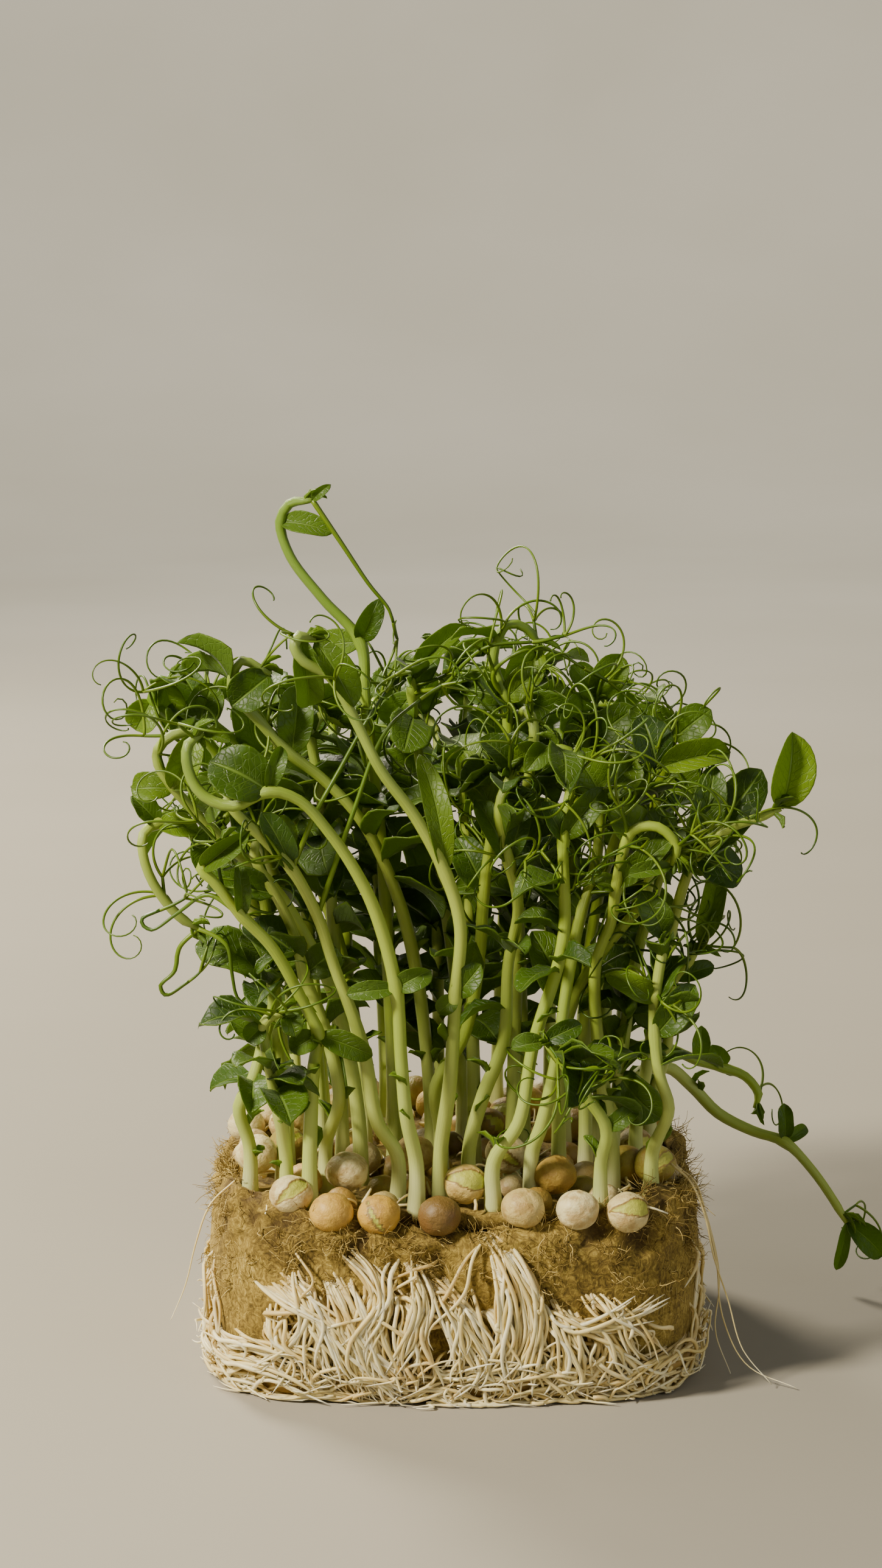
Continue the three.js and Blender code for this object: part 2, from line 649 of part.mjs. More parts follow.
// The shares along two straight pieces at which they pass nearest to each other
function nearest(a0, a1, b0, b1) {
  const clamp = (v) => Math.min(1, Math.max(0, v));
  const da = a1.clone().sub(a0);
  const db = b1.clone().sub(b0);
  const between = a0.clone().sub(b0);
  const aa = da.dot(da);
  const bb = db.dot(db);
  const ab = da.dot(db);
  const ac = da.dot(between);
  const bc = db.dot(between);
  const spread = aa * bb - ab * ab;
  let s = spread > 1e-9 ? clamp((ab * bc - ac * bb) / spread) : 0.5;
  const t = clamp((ab * s + bc) / bb);
  s = clamp((ab * t - ac) / aa);
  return { s, t };
}

// A leaf blade: the outline widens from the neck and closes at the tip, each station being
// [share of length, share of half width], and the two halves meet in a rib
const WIDE_STATIONS = [[0.26, 0.8], [0.56, 1], [0.84, 0.66]];
const SMALL_STATIONS = [[0.34, 0.92], [0.74, 0.86]];
const RIB_AT = 0.52;
function bladeFrame(base, reach, face) {
  const along = reach.clone().normalize();
  const front = face.clone().addScaledVector(along, -face.dot(along)).normalize();
  return { along, front, across: along.clone().cross(front), length: reach.length(), base };
}

function bladePoint(frame, share, half, cup, lift) {
  const arch = frame.length * BLADE_BEND * Math.sin(Math.PI * share);
  const angle = (cup * Math.PI) / 180;
  return frame.base
    .clone()
    .addScaledVector(frame.along, frame.length * share)
    .addScaledVector(frame.front, arch + lift + Math.abs(half) * Math.sin(angle))
    .addScaledVector(frame.across, half * Math.cos(angle));
}

function blade(leaf, base) {
  const frame = bladeFrame(base, leaf.reach, leaf.face);
  const half = leaf.width / 2;
  const stations = [
    [0, BLADE_NECK / 2 / half],
    ...(leaf.width >= WIDE_BLADE ? WIDE_STATIONS : SMALL_STATIONS),
  ];
  const right = stations.map(([share, spread]) => [share, spread * half]);
  const left = right.map(([share, spread]) => [share, -spread]).reverse();
  const outline = [...right, [1, 0], ...left];
  const points = [];
  for (const lift of [BLADE_THICKNESS / 2, -BLADE_THICKNESS / 2]) {
    for (const [share, spread] of [...outline, [RIB_AT, 0]]) {
      points.push(bladePoint(frame, share, spread, leaf.cup, lift));
    }
  }
  const count = outline.length;
  const under = count + 1;
  const triangles = outline.flatMap((_, p) => {
    const q = (p + 1) % count;
    return [
      [p, q, count],
      [q + under, p + under, count + under],
      [q, p, p + under],
      [q, p + under, q + under],
    ];
  });
  return solid(points, triangles);
}

// Leaves are tried as drawn, then turned in depth and made smaller until nothing is in the way
const SHIFTS = [0, -3, 3, -6, 6, -9, 9];
const SHRINKS = [1, 0.85, 0.7];
const FEEL = 1.3;
const FEEL_ROWS = 8;
const FEEL_HANDS = [-1, -0.5, 0, 0.5, 1];
function feelers(leaf, base) {
  const frame = bladeFrame(base, leaf.reach, leaf.face);
  const spots = [];
  for (let row = 1; row <= FEEL_ROWS; row++) {
    const share = row / FEEL_ROWS;
    const spread = Math.sin(Math.PI * Math.min(0.9, share * 0.85 + 0.05));
    for (const hand of FEEL_HANDS) {
      spots.push(bladePoint(frame, share, hand * spread * 0.45 * leaf.width, leaf.cup, 0));
    }
  }
  return spots;
}

function clearOf(spots, owner, taken) {
  return spots.every((spot) => {
    const overBlock = Math.abs(spot.x) < HALF_WIDTH + 3 && Math.abs(spot.y) < HALF_DEPTH + 3;
    if (spot.z < (overBlock ? 51 : 3)) {
      return false;
    }
    return taken.every((t) => {
      return t.owner === owner || t.spot.distanceTo(spot) > t.radius + FEEL + CLEARANCE;
    });
  });
}

function placeLeaves(shoots) {
  const taken = [];
  shoots.forEach((shoot, owner) => {
    for (const line of shoot.lines) {
      for (let i = 0; i < line.points.length - 1; i++) {
        const steps = Math.ceil(line.points[i].distanceTo(line.points[i + 1]) / 1.5);
        for (let k = 0; k < steps; k++) {
          const spot = line.points[i].clone().lerp(line.points[i + 1], k / steps);
          taken.push({ owner, spot, radius: radiusAt(line, i) });
        }
      }
    }
  });
  shoots.forEach((shoot, owner) => {
    shoot.blades = [];
    for (const leaf of shoot.leaves) {
      const base = shoot.lines[0].points[leaf.from];
      const placed = firstClear(leaf, base, owner, taken);
      if (placed) {
        shoot.blades.push({ leaf: placed, base });
        feelers(placed, base).forEach((spot) => taken.push({ owner, spot, radius: FEEL }));
      }
    }
  });
}

function firstClear(leaf, base, owner, taken) {
  for (const shrink of SHRINKS) {
    for (const shift of SHIFTS) {
      const reach = leaf.reach.clone().add(vec(0, shift, 0)).setLength(leaf.reach.length() * shrink);
      const tried = { ...leaf, reach, width: leaf.width * shrink };
      const spots = feelers(tried, base).slice(FEEL_HANDS.length);
      if (clearOf(spots, owner, taken)) {
        return tried;
      }
    }
  }
  return null;
}

function shootBody(shoot) {
  const bodies = shoot.lines.map((line, order) => {
    const radii = line.points.map((_, i) => radiusAt(line, i));
    return stalk(line.points, radii, order === 0 ? STEM_SIDES : TENDRIL_SIDES);
  });
  for (const { leaf, base } of shoot.blades) {
    bodies.push(blade(leaf, base));
  }
  return Manifold.union(bodies);
}

// Seed layer: a thin bed with the peas standing out of it and a plain hole for every stem
const SEED_STEPS = 24;
function seedLayer(places, shoots) {
  const ring = (z, out) => around(SEED_STEPS, (a) => side(a, z, out));
  const bed = wrapped(
    vec(0, 0, SEED_BOTTOM),
    [ring(SEED_BOTTOM, -5.2), ring(SEED_TOP, -5.2)],
    vec(0, 0, SEED_TOP),
  );
  const holeRadius = STEM_RADIUS + GAP / Math.cos(Math.PI / STEM_SIDES);
  const holes = shoots.map((shoot) => {
    const foot = shoot.lines[0].points[0];
    const points = [vec(foot.x, foot.y, HOLE_FLOOR), vec(foot.x, foot.y, 60)];
    return stalk(points, [holeRadius, holeRadius], STEM_SIDES);
  });
  const strewn = Manifold.union([bed, ...places.map((place, i) => pea(place, i))]);
  return largest(strewn.subtract(Manifold.union(holes)));
}

// Slivers of pea cut loose by a hole fall away
function largest(body) {
  return body.decompose().reduce((a, b) => (a.volume() >= b.volume() ? a : b));
}

// Assembly
const shoots = HEROES.map(heroShoot);
shoots.push(...fillShoots(HEROES.map((hero) => [...hero.foot])));
bendClear(shoots);
placeLeaves(shoots);

const peas = peaPlaces(shoots.map((shoot) => shoot.lines[0].points[0]));
const dents = Manifold.union(peas.map((place, i) => pea(place, i, GAP + 0.05)));

const microgreens = new THREE.Group();
microgreens.name = 'pea_shoot_microgreens';
microgreens.add(named('growing_mat', growingMat().subtract(dents), MATERIALS.felt));
microgreens.add(named('root_mat', rootMat(), MATERIALS.root));
microgreens.add(named('seed_layer', seedLayer(peas, shoots), MATERIALS.pea));
shoots.forEach((shoot, i) => {
  const name = `shoot_${String(i + 1).padStart(2, '0')}`;
  microgreens.add(named(name, shootBody(shoot), MATERIALS.shoot));
});

export default microgreens;
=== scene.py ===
# %% [markdown]
# # A block of pea shoot microgreens
# This lesson dresses a block of pea shoots that has been lifted out of its growing tray. A felt
# mat stands in a dish of white roots, soaked peas lie on it, and fifty leafy shoots grow from
# them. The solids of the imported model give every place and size. Here each of them is stood in
# for by a finer mesh that grows by the same rule, and then gets its veins, fibres and colours.

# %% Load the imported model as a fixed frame
import math

import bpy
import numpy as np
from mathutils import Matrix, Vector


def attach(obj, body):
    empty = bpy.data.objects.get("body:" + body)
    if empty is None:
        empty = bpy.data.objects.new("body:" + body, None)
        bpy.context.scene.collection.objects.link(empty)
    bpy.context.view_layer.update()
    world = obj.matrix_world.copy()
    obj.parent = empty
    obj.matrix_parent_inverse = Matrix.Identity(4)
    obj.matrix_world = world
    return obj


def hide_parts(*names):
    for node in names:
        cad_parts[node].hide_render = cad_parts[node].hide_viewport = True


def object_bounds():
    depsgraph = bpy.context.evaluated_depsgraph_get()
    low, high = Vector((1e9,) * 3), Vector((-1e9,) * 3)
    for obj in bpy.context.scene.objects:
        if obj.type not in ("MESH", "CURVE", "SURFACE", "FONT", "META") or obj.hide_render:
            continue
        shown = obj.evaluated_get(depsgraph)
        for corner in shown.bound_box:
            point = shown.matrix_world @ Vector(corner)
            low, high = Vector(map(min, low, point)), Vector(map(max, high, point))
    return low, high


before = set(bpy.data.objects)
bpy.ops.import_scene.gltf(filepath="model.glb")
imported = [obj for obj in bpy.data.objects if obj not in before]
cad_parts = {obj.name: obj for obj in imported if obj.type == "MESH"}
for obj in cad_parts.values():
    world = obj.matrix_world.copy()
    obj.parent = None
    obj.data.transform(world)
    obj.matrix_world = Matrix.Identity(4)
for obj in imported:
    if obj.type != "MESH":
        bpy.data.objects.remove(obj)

MM = 0.001
cad_low, cad_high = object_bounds()
cad_box = [list(cad_low), list(cad_high)]
print("solids:", len(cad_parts), "box in metres:", cad_box)

# %% [markdown]
# ## The camera
# The view is the photograph's: an eye about 0.74 m in front of the block and 0.24 m above the
# floor, looking slightly down through an 80 mm lens. These numbers were solved from the
# perspective of the block's edges, so the model can be compared with the picture place by place.

# %% Camera at the photograph's viewing angle
EYE = (-2.9, -735.6, 243.1)
LOOK_DOWN = 9.41
LENS = 80.0

camera_data = bpy.data.cameras.new("camera")
camera_data.lens = LENS
camera_data.sensor_width = 36.0
camera_data.clip_start = 0.05
camera_data.clip_end = 20.0
camera = bpy.data.objects.new("camera", camera_data)
camera.location = [value * MM for value in EYE]
camera.rotation_euler = (math.radians(90 - LOOK_DOWN), 0, 0)
bpy.context.collection.objects.link(camera)
bpy.context.scene.camera = camera
print("camera at", tuple(camera.location))

# %% [markdown]
# ## Floor and light
# A plain pale floor that rises in a soft curve far away on every side, like a studio bowl, so
# that the background is quiet from all round. A warm lamp from the upper left gives the stems
# their bright side, a second one behind shines through the leaves, a broad weak one on the right
# keeps the shadows open, and the last one lights the far backdrop.

# %% A floor that turns up into a backdrop far away
FLOOR_RADIUS = 1.7
BOWL_RADIUS = 1.1
BOWL_STEPS = 24
FLOOR_SIDES = 96


def bowl_profile():
    """Radius and height of the floor's rings, flat first and then rising in a quarter circle."""
    profile = [(0.0, 0.0), (FLOOR_RADIUS, 0.0)]
    for step in range(1, BOWL_STEPS + 1):
        turn = step / BOWL_STEPS * math.pi / 2
        profile.append((FLOOR_RADIUS + BOWL_RADIUS * math.sin(turn), BOWL_RADIUS * (1 - math.cos(turn))))
    return profile


def make_floor():
    points, faces = [(0.0, 0.0, 0.0)], []
    rings = bowl_profile()[1:]
    for radius, height in rings:
        for side_step in range(FLOOR_SIDES):
            turn = side_step / FLOOR_SIDES * 2 * math.pi
            points.append((radius * math.cos(turn), radius * math.sin(turn), height))
    for side_step in range(FLOOR_SIDES):
        after = (side_step + 1) % FLOOR_SIDES
        faces.append((0, 1 + side_step, 1 + after))
        for ring in range(len(rings) - 1):
            low = 1 + ring * FLOOR_SIDES
            high = low + FLOOR_SIDES
            faces.append((low + side_step, high + side_step, high + after, low + after))
    mesh = bpy.data.meshes.new("floor")
    mesh.from_pydata(points, [], faces)
    mesh.polygons.foreach_set("use_smooth", [True] * len(mesh.polygons))
    floor = bpy.data.objects.new("floor", mesh)
    bpy.context.collection.objects.link(floor)
    return floor


floor = make_floor()
print("floor radius", FLOOR_RADIUS, "m, faces", len(floor.data.polygons))

# %% Lamps and the pale surround
def lamp(name, place, target, size, power, colour):
    """A round lamp at a place, turned to its target."""
    data = bpy.data.lights.new(name, "AREA")
    data.shape = "DISK"
    data.size = size
    data.energy = power
    data.color = colour
    item = bpy.data.objects.new(name, data)
    item.location = place
    toward = np.array(target) - np.array(place)
    flat = math.hypot(toward[0], toward[1])
    item.rotation_euler = (math.atan2(flat, -toward[2]), 0, math.atan2(-toward[0], toward[1]))
    bpy.context.collection.objects.link(item)
    return item


# places and widths in metres, power in watts
PLANT_MIDDLE = (0.0, 0.0, 0.09)
FAR_BACKDROP = (0.0, 2.7, 0.4)
WARM = (1.0, 0.90, 0.74)
NEUTRAL = (1.0, 0.97, 0.91)
COOL = (0.93, 0.96, 1.0)
SURROUND_COLOUR = (0.82, 0.80, 0.74, 1)
SURROUND_STRENGTH = 0.25
lamp("key_lamp", (-0.82, -0.52, 0.80), PLANT_MIDDLE, 0.20, 33.0, WARM)
lamp("leaf_glow_lamp", (-0.55, 0.75, 0.75), PLANT_MIDDLE, 0.35, 19.0, WARM)
lamp("fill_lamp", (0.95, -0.75, 0.45), PLANT_MIDDLE, 0.9, 3.0, COOL)
lamp("backdrop_lamp", (0.0, 1.3, 1.5), FAR_BACKDROP, 1.2, 50.0, NEUTRAL)

world = bpy.data.worlds.new("surround")
bpy.context.scene.world = world
world.use_nodes = True
background = world.node_tree.nodes["Background"]
background.inputs["Color"].default_value = SURROUND_COLOUR
background.inputs["Strength"].default_value = SURROUND_STRENGTH

# %% [markdown]
# ## A small workshop for finishes
# Every finish here is a network of nodes: noise for uneven colour, bump for relief, and values
# that each mesh carries in its points. Wiring nodes one by one is long-winded, so this class
# keeps the calls short. A number that is the same all over goes straight on the shader's socket.

# %% Helper for wiring finishes
class Finish:
    """A material, with short calls that add and join its nodes."""

    def __init__(self, name, roughness, specular=0.5):
        self.material = bpy.data.materials.new(name)
        self.material.use_nodes = True
        self.tree = self.material.node_tree
        self.surface = self.tree.nodes["Principled BSDF"]
        self.out = self.tree.nodes["Material Output"]
        self.surface.inputs["Roughness"].default_value = roughness
        self.surface.inputs["Specular IOR Level"].default_value = specular

    def node(self, kind, **settings):
        made = self.tree.nodes.new(kind)
        for key, value in settings.items():
            setattr(made, key, value)
        return made

    def feed(self, socket, value):
        if isinstance(value, bpy.types.NodeSocket):
            self.tree.links.new(value, socket)
        else:
            socket.default_value = value

    def maths(self, operation, first, second=0.0, third=0.0, clamp=False):
        made = self.node("ShaderNodeMath", operation=operation, use_clamp=clamp)
        for socket, value in zip(made.inputs, (first, second, third)):
            self.feed(socket, value)
        return made.outputs[0]

    def blend(self, share, first, second):
        made = self.node("ShaderNodeMix", data_type="RGBA", clamp_factor=True)
        self.feed(made.inputs["Factor"], share)
        self.feed(made.inputs[6], first)
        self.feed(made.inputs[7], second)
        return made.outputs[2]

    def ramp(self, share, stops):
        made = self.node("ShaderNodeValToRGB")
        self.feed(made.inputs["Fac"], share)
        band = made.color_ramp
        while len(band.elements) < len(stops):
            band.elements.new(0.5)
        for element, (place, colour) in zip(band.elements, stops):
            element.position = place
            element.color = colour
        return made.outputs["Color"]

    def fade(self, value, low, high):
        """0 below low, 1 above high, smooth between them."""
        made = self.node("ShaderNodeMapRange", interpolation_type="SMOOTHSTEP", clamp=True)
        self.feed(made.inputs["Value"], value)
        made.inputs["From Min"].default_value = low
        made.inputs["From Max"].default_value = high
        return made.outputs["Result"]

    def noise(self, scale, detail=3.0, rough=0.5, stretch=(1, 1, 1), uv=False):
        place = self.node("ShaderNodeTexCoord").outputs["UV" if uv else "Object"]
        mapping = self.node("ShaderNodeMapping")
        self.feed(mapping.inputs["Vector"], place)
        mapping.inputs["Scale"].default_value = stretch
        made = self.node("ShaderNodeTexNoise")
        self.feed(made.inputs["Vector"], mapping.outputs["Vector"])
        made.inputs["Scale"].default_value = scale
        made.inputs["Detail"].default_value = detail
        made.inputs["Roughness"].default_value = rough
        return made.outputs["Fac"]

    def tones(self):
        """The three values that a mesh carries in its points."""
        carried = self.node("ShaderNodeAttribute", attribute_name="tone")
        split = self.node("ShaderNodeSeparateColor")
        self.feed(split.inputs["Color"], carried.outputs["Color"])
        return split.outputs["Red"], split.outputs["Green"], split.outputs["Blue"]

    def bump(self, height, distance, strength=1.0):
        made = self.node("ShaderNodeBump")
        made.inputs["Strength"].default_value = strength
        made.inputs["Distance"].default_value = distance
        self.feed(made.inputs["Height"], height)
        self.feed(self.surface.inputs["Normal"], made.outputs["Normal"])

    def colour(self, value):
        self.feed(self.surface.inputs["Base Color"], value)

    def shine_through(self, share, value):
        """Lets a share of the light pass through, as in a thin leaf."""
        thin = self.node("ShaderNodeBsdfTranslucent")
        self.feed(thin.inputs["Color"], value)
        both = self.node("ShaderNodeMixShader")
        both.inputs["Fac"].default_value = share
        self.feed(both.inputs[1], self.surface.outputs["BSDF"])
        self.feed(both.inputs[2], thin.outputs["BSDF"])
        self.feed(self.out.inputs["Surface"], both.outputs["Shader"])


def rgb(red, green, blue):
    """A colour as seen on a screen, from 0 to 255, in the renderer's linear light."""
    linear = []
    for value in (red, green, blue):
        share = value / 255
        # the usual screen curve: a straight run near black, a power above it
        linear.append(share / 12.92 if share <= 0.04045 else ((share + 0.055) / 1.055) ** 2.4)
    return (*linear, 1.0)


# %% [markdown]
# ## Finish of the floor
# The floor is painted board: nearly even, a little warm, with a hardly visible grain. It is only
# there to catch the shadow.

# %% Floor finish
painted = Finish("pale_painted_floor", 0.7, 0.25)
painted.colour(painted.ramp(painted.noise(3.0, 4.0), [(0.3, rgb(149, 144, 130)), (0.7, rgb(157, 152, 139))]))
painted.bump(painted.noise(260.0, 3.0, 0.6, (0.08, 1, 1)), 0.0002, 0.25)
floor.data.materials.append(painted.material)
print("finish:", painted.material.name)

# %% [markdown]
# ## Finish of the felt
# The growing mat is pressed plant fibre, golden brown and damp. Its colour changes from patch to
# patch and from fibre to fibre, so broad noise sets the patches and fine stretched noise the
# fibres. The same fine noise gives the relief. Loose fibres that stand up are real meshes and
# carry their own shade in their points.

# %% Felt finish
felt = Finish("damp_golden_felt", 0.88, 0.25)
felt_shade, felt_hollow, felt_fibre = felt.tones()
patches = felt.noise(55.0, 4.0, 0.6)
strands = felt.noise(900.0, 5.0, 0.7, (1.0, 1.0, 0.45))
curls = felt.node("ShaderNodeTexNoise")
felt.feed(curls.inputs["Vector"], felt.node("ShaderNodeTexCoord").outputs["Object"])
curls.inputs["Scale"].default_value = 380.0
curls.inputs["Detail"].default_value = 5.0
curls.inputs["Roughness"].default_value = 0.62
curls.inputs["Distortion"].default_value = 3.5
wads = felt.maths("MULTIPLY_ADD", curls.outputs["Fac"], 0.45,
                  felt.maths("MULTIPLY", patches, 0.35))
felt_mixed = felt.maths("MULTIPLY_ADD", strands, 0.25, wads)
felt_base = felt.ramp(felt_mixed, [
    (0.40, rgb(70, 56, 20)), (0.49, rgb(116, 96, 42)), (0.57, rgb(156, 134, 62)), (0.68, rgb(204, 182, 106)),
])
felt_hair = felt.ramp(felt_shade, [
    (0.0, rgb(104, 84, 36)), (0.6, rgb(160, 136, 68)), (1.0, rgb(214, 192, 120)),
])
# painted shade: where the torn skin sinks in, the felt is darkened towards dark brown by its hollow value
felt_hollows_painted_shade = felt.blend(felt.maths("MULTIPLY", felt_hollow, 0.85), felt_base, rgb(62, 46, 20))
felt.colour(felt.blend(felt_fibre, felt_hollows_painted_shade, felt_hair))
felt.bump(felt_mixed, 0.0006, 0.9)
felt.surface.inputs["Sheen Weight"].default_value = 0.15
felt.surface.inputs["Sheen Tint"].default_value = rgb(232, 204, 132)
felt.surface.inputs["Sheen Roughness"].default_value = 0.5
print("finish:", felt.material.name)

# %% [markdown]
# ## Finish of the roots
# Young roots are cream white, moist and slightly see-through. Where they lie deep in the mat, close to the
# felt and under the other roots, painted shade darkens them towards the felt's colour, and their tips are the
# whitest part. The mesh says how far along the root each point is, and a random shade for each root keeps
# them apart.

# %% Root finish
root = Finish("moist_cream_root", 0.42, 0.45)
root_shade, root_along, root_depth = root.tones()
root_pale = root.ramp(root_shade, [
    (0.0, rgb(216, 194, 124)), (0.5, rgb(234, 217, 158)), (1.0, rgb(246, 236, 194)),
])
# painted shade: roots that lie deep, close to the felt and under the others, are darkened towards the felt's
# colour
root_deep_painted_shade = root.blend(root_depth, root_pale, rgb(160, 128, 60))
root_stained = root.blend(root.fade(root.noise(160.0, 3.0), 0.5, 0.8), root_deep_painted_shade, rgb(206, 178, 108))
root_tip = root.maths("MULTIPLY", root.fade(root_along, 0.75, 1.0), 0.6)
root.colour(root.blend(root_tip, root_stained, rgb(245, 239, 208)))
root.bump(root.noise(1400.0, 3.0, 0.6), 0.0001, 0.35)
root.surface.inputs["Subsurface Weight"].default_value = 0.35
root.surface.inputs["Subsurface Radius"].default_value = (1.0, 0.75, 0.45)
root.surface.inputs["Subsurface Scale"].default_value = 0.0012
print("finish:", root.material.name)

# %% [markdown]
# ## Finish of the peas
# A soaked pea has a thin, leathery coat, softly shiny, in cream, straw, golden brown or greyish
# green, often blotched and cracked, with the green seed showing in the crack. The shade comes from
# each pea's own random value and the crack from the mesh, where the coat really stands proud.

# %% Pea finish
pea = Finish("soaked_pea_coat", 0.5, 0.4)
pea_shade, pea_inside, pea_dark = pea.tones()
pea_coat = pea.ramp(pea_shade, [
    (0.0, rgb(222, 210, 158)), (0.25, rgb(211, 190, 118)), (0.45, rgb(202, 162, 62)),
    (0.62, rgb(188, 162, 74)), (0.78, rgb(158, 150, 58)), (1.0, rgb(136, 98, 44)),
])
pea_blotch = pea.fade(pea.noise(230.0, 5.0, 0.65), 0.44, 0.62)
pea_mottled = pea.blend(pea.maths("MULTIPLY", pea_blotch, 0.6), pea_coat, rgb(160, 122, 52))
pea_dark_coat = pea.blend(pea_dark, pea_mottled, rgb(92, 58, 32))
# painted shade: a thin dark brown rim where the coat opens, along the crack's edge, before the green seed
# shows
pea_open = pea.blend(pea.fade(pea_inside, 0.55, 0.9), rgb(140, 116, 54), rgb(176, 178, 70))
pea.colour(pea.blend(pea.fade(pea_inside, 0.02, 0.3), pea_dark_coat, pea_open))
pea_relief = pea.maths("MULTIPLY_ADD", pea.noise(700.0, 5.0, 0.65), 0.6, pea.noise(190.0, 3.0, 0.5))
pea.bump(pea_relief, 0.0009, 0.8)
pea.surface.inputs["Subsurface Weight"].default_value = 0.15
pea.surface.inputs["Subsurface Radius"].default_value = (1.0, 0.7, 0.35)
pea.surface.inputs["Subsurface Scale"].default_value = 0.0015
pea.surface.inputs["Coat Weight"].default_value = 0.12
pea.surface.inputs["Coat Roughness"].default_value = 0.35
print("finish:", pea.material.name)

# %% [markdown]
# ## Finish of the stems
# A pea stem is nearly white where it leaves the seed, pale straw green for most of its height and
# fresh yellow green near its tip. Fine ribs run along it. The mesh says how high up the stem each
# point is, a ramp turns that into colour, and noise stretched along the stem makes the ribs.

# %% Stem finish
stem = Finish("juicy_pea_stem", 0.36, 0.5)
stem_shade, stem_height, _ = stem.tones()
stem_uneven = stem.maths("MULTIPLY_ADD", stem.noise(45.0, 3.0), 0.22, -0.11)
stem_place = stem.maths("ADD", stem_height, stem_uneven)
stem_run = stem.ramp(stem_place, [
    (0.0, rgb(222, 224, 166)), (0.10, rgb(192, 208, 106)), (0.30, rgb(150, 176, 46)),
    (0.58, rgb(162, 186, 46)), (0.76, rgb(136, 168, 14)), (1.0, rgb(92, 134, 6)),
])
stem_pale = stem.blend(stem.maths("MULTIPLY", stem_shade, 0.4), stem_run, rgb(202, 210, 116))
stem_ribs = stem.noise(6.0, 3.0, 0.55, (9.0, 0.35, 1.0), uv=True)
stem_ridge = stem.maths("MULTIPLY", stem.fade(stem_ribs, 0.5, 0.75), 0.35)
stem_colour = stem.blend(stem_ridge, stem_pale, rgb(84, 116, 16))
stem.colour(stem_colour)
stem.bump(stem_ribs, 0.0003, 0.45)
stem.surface.inputs["Coat Weight"].default_value = 0.15
stem.surface.inputs["Coat Roughness"].default_value = 0.25
stem.shine_through(0.18, stem_colour)
print("finish:", stem.material.name)

# %% [markdown]
# ## Finish of the leaves
# The blade is dark green above, greyer and paler below, with a faint waxy bloom. A pale rib runs
# up the middle, side veins leave it at a slant, and a net of fine veins fills the fields between.
# All of that is drawn from two numbers that the mesh carries: how far across and how far along the
# blade a point is. Light from behind turns the blade a warm yellow green, so part of the light is
# let through.

# %% Leaf finish
leaf = Finish("waxy_pea_leaf", 0.44, 0.42)
leaf_shade, leaf_under, leaf_youth_and_glow = leaf.tones()
leaf_place = leaf.node("ShaderNodeSeparateXYZ")
leaf.feed(leaf_place.inputs["Vector"], leaf.node("ShaderNodeTexCoord").outputs["UV"])
leaf_across = leaf.maths("ABSOLUTE", leaf.maths("MULTIPLY_ADD", leaf_place.outputs["X"], 2.0, -1.0))
leaf_along = leaf_place.outputs["Y"]
leaf_wobble = leaf.maths("MULTIPLY_ADD", leaf.noise(5.0, 2.0, 0.5, uv=True), 0.5, -0.25)
rib_line = leaf.maths("SUBTRACT", 1.0, leaf.fade(leaf_across, 0.02, 0.10))
vein_run = leaf.maths("MULTIPLY_ADD", leaf_across, -2.6, leaf.maths("MULTIPLY", leaf_along, 8.5))
vein_phase = leaf.maths("FRACT", leaf.maths("ADD", vein_run, leaf_wobble))
vein_from_middle = leaf.maths("ABSOLUTE", leaf.maths("SUBTRACT", vein_phase, 0.5))
vein_thinning = leaf.maths("SUBTRACT", 1.0, leaf_across)
vein_line = leaf.maths("MULTIPLY", leaf.fade(vein_from_middle, 0.40, 0.49), vein_thinning)
net = leaf.node("ShaderNodeTexVoronoi", feature="DISTANCE_TO_EDGE")
leaf.feed(net.inputs["Vector"], leaf.node("ShaderNodeTexCoord").outputs["Object"])
net.inputs["Scale"].default_value = 620.0
net_line = leaf.maths("SUBTRACT", 1.0, leaf.fade(net.outputs["Distance"], 0.0, 0.09))
vein_all = leaf.maths("MAXIMUM", rib_line, leaf.maths("MULTIPLY", vein_line, 0.8), clamp=True)
vein_fine = leaf.maths("MAXIMUM", vein_all, leaf.maths("MULTIPLY", net_line, 0.22), clamp=True)
leaf_own = leaf.maths("MULTIPLY", leaf_shade, 0.4)
leaf_field = leaf.maths("MULTIPLY_ADD", leaf.noise(140.0, 4.0, 0.55), 0.6, leaf_own)
leaf_top = leaf.ramp(leaf_field, [(0.25, rgb(29, 52, 3)), (0.5, rgb(46, 76, 5)), (0.8, rgb(78, 110, 10))])
leaf_bloom = leaf.maths("MULTIPLY", leaf.fade(leaf_shade, 0.7, 0.95), 0.45)
# young leaves are yellow green, and the same yellow green is a painted glow on the few leaves listed for it
leaf_youth_and_glow_tinted = leaf.blend(leaf_youth_and_glow, leaf.blend(leaf_bloom, leaf_top, rgb(72, 104, 44)), rgb(122, 154, 16))
leaf_sided = leaf.blend(leaf.maths("MULTIPLY", leaf_under, 0.7), leaf_youth_and_glow_tinted, rgb(84, 114, 28))
leaf_veined = leaf.blend(leaf.maths("MULTIPLY", vein_fine, 0.75), leaf_sided, rgb(120, 150, 54))
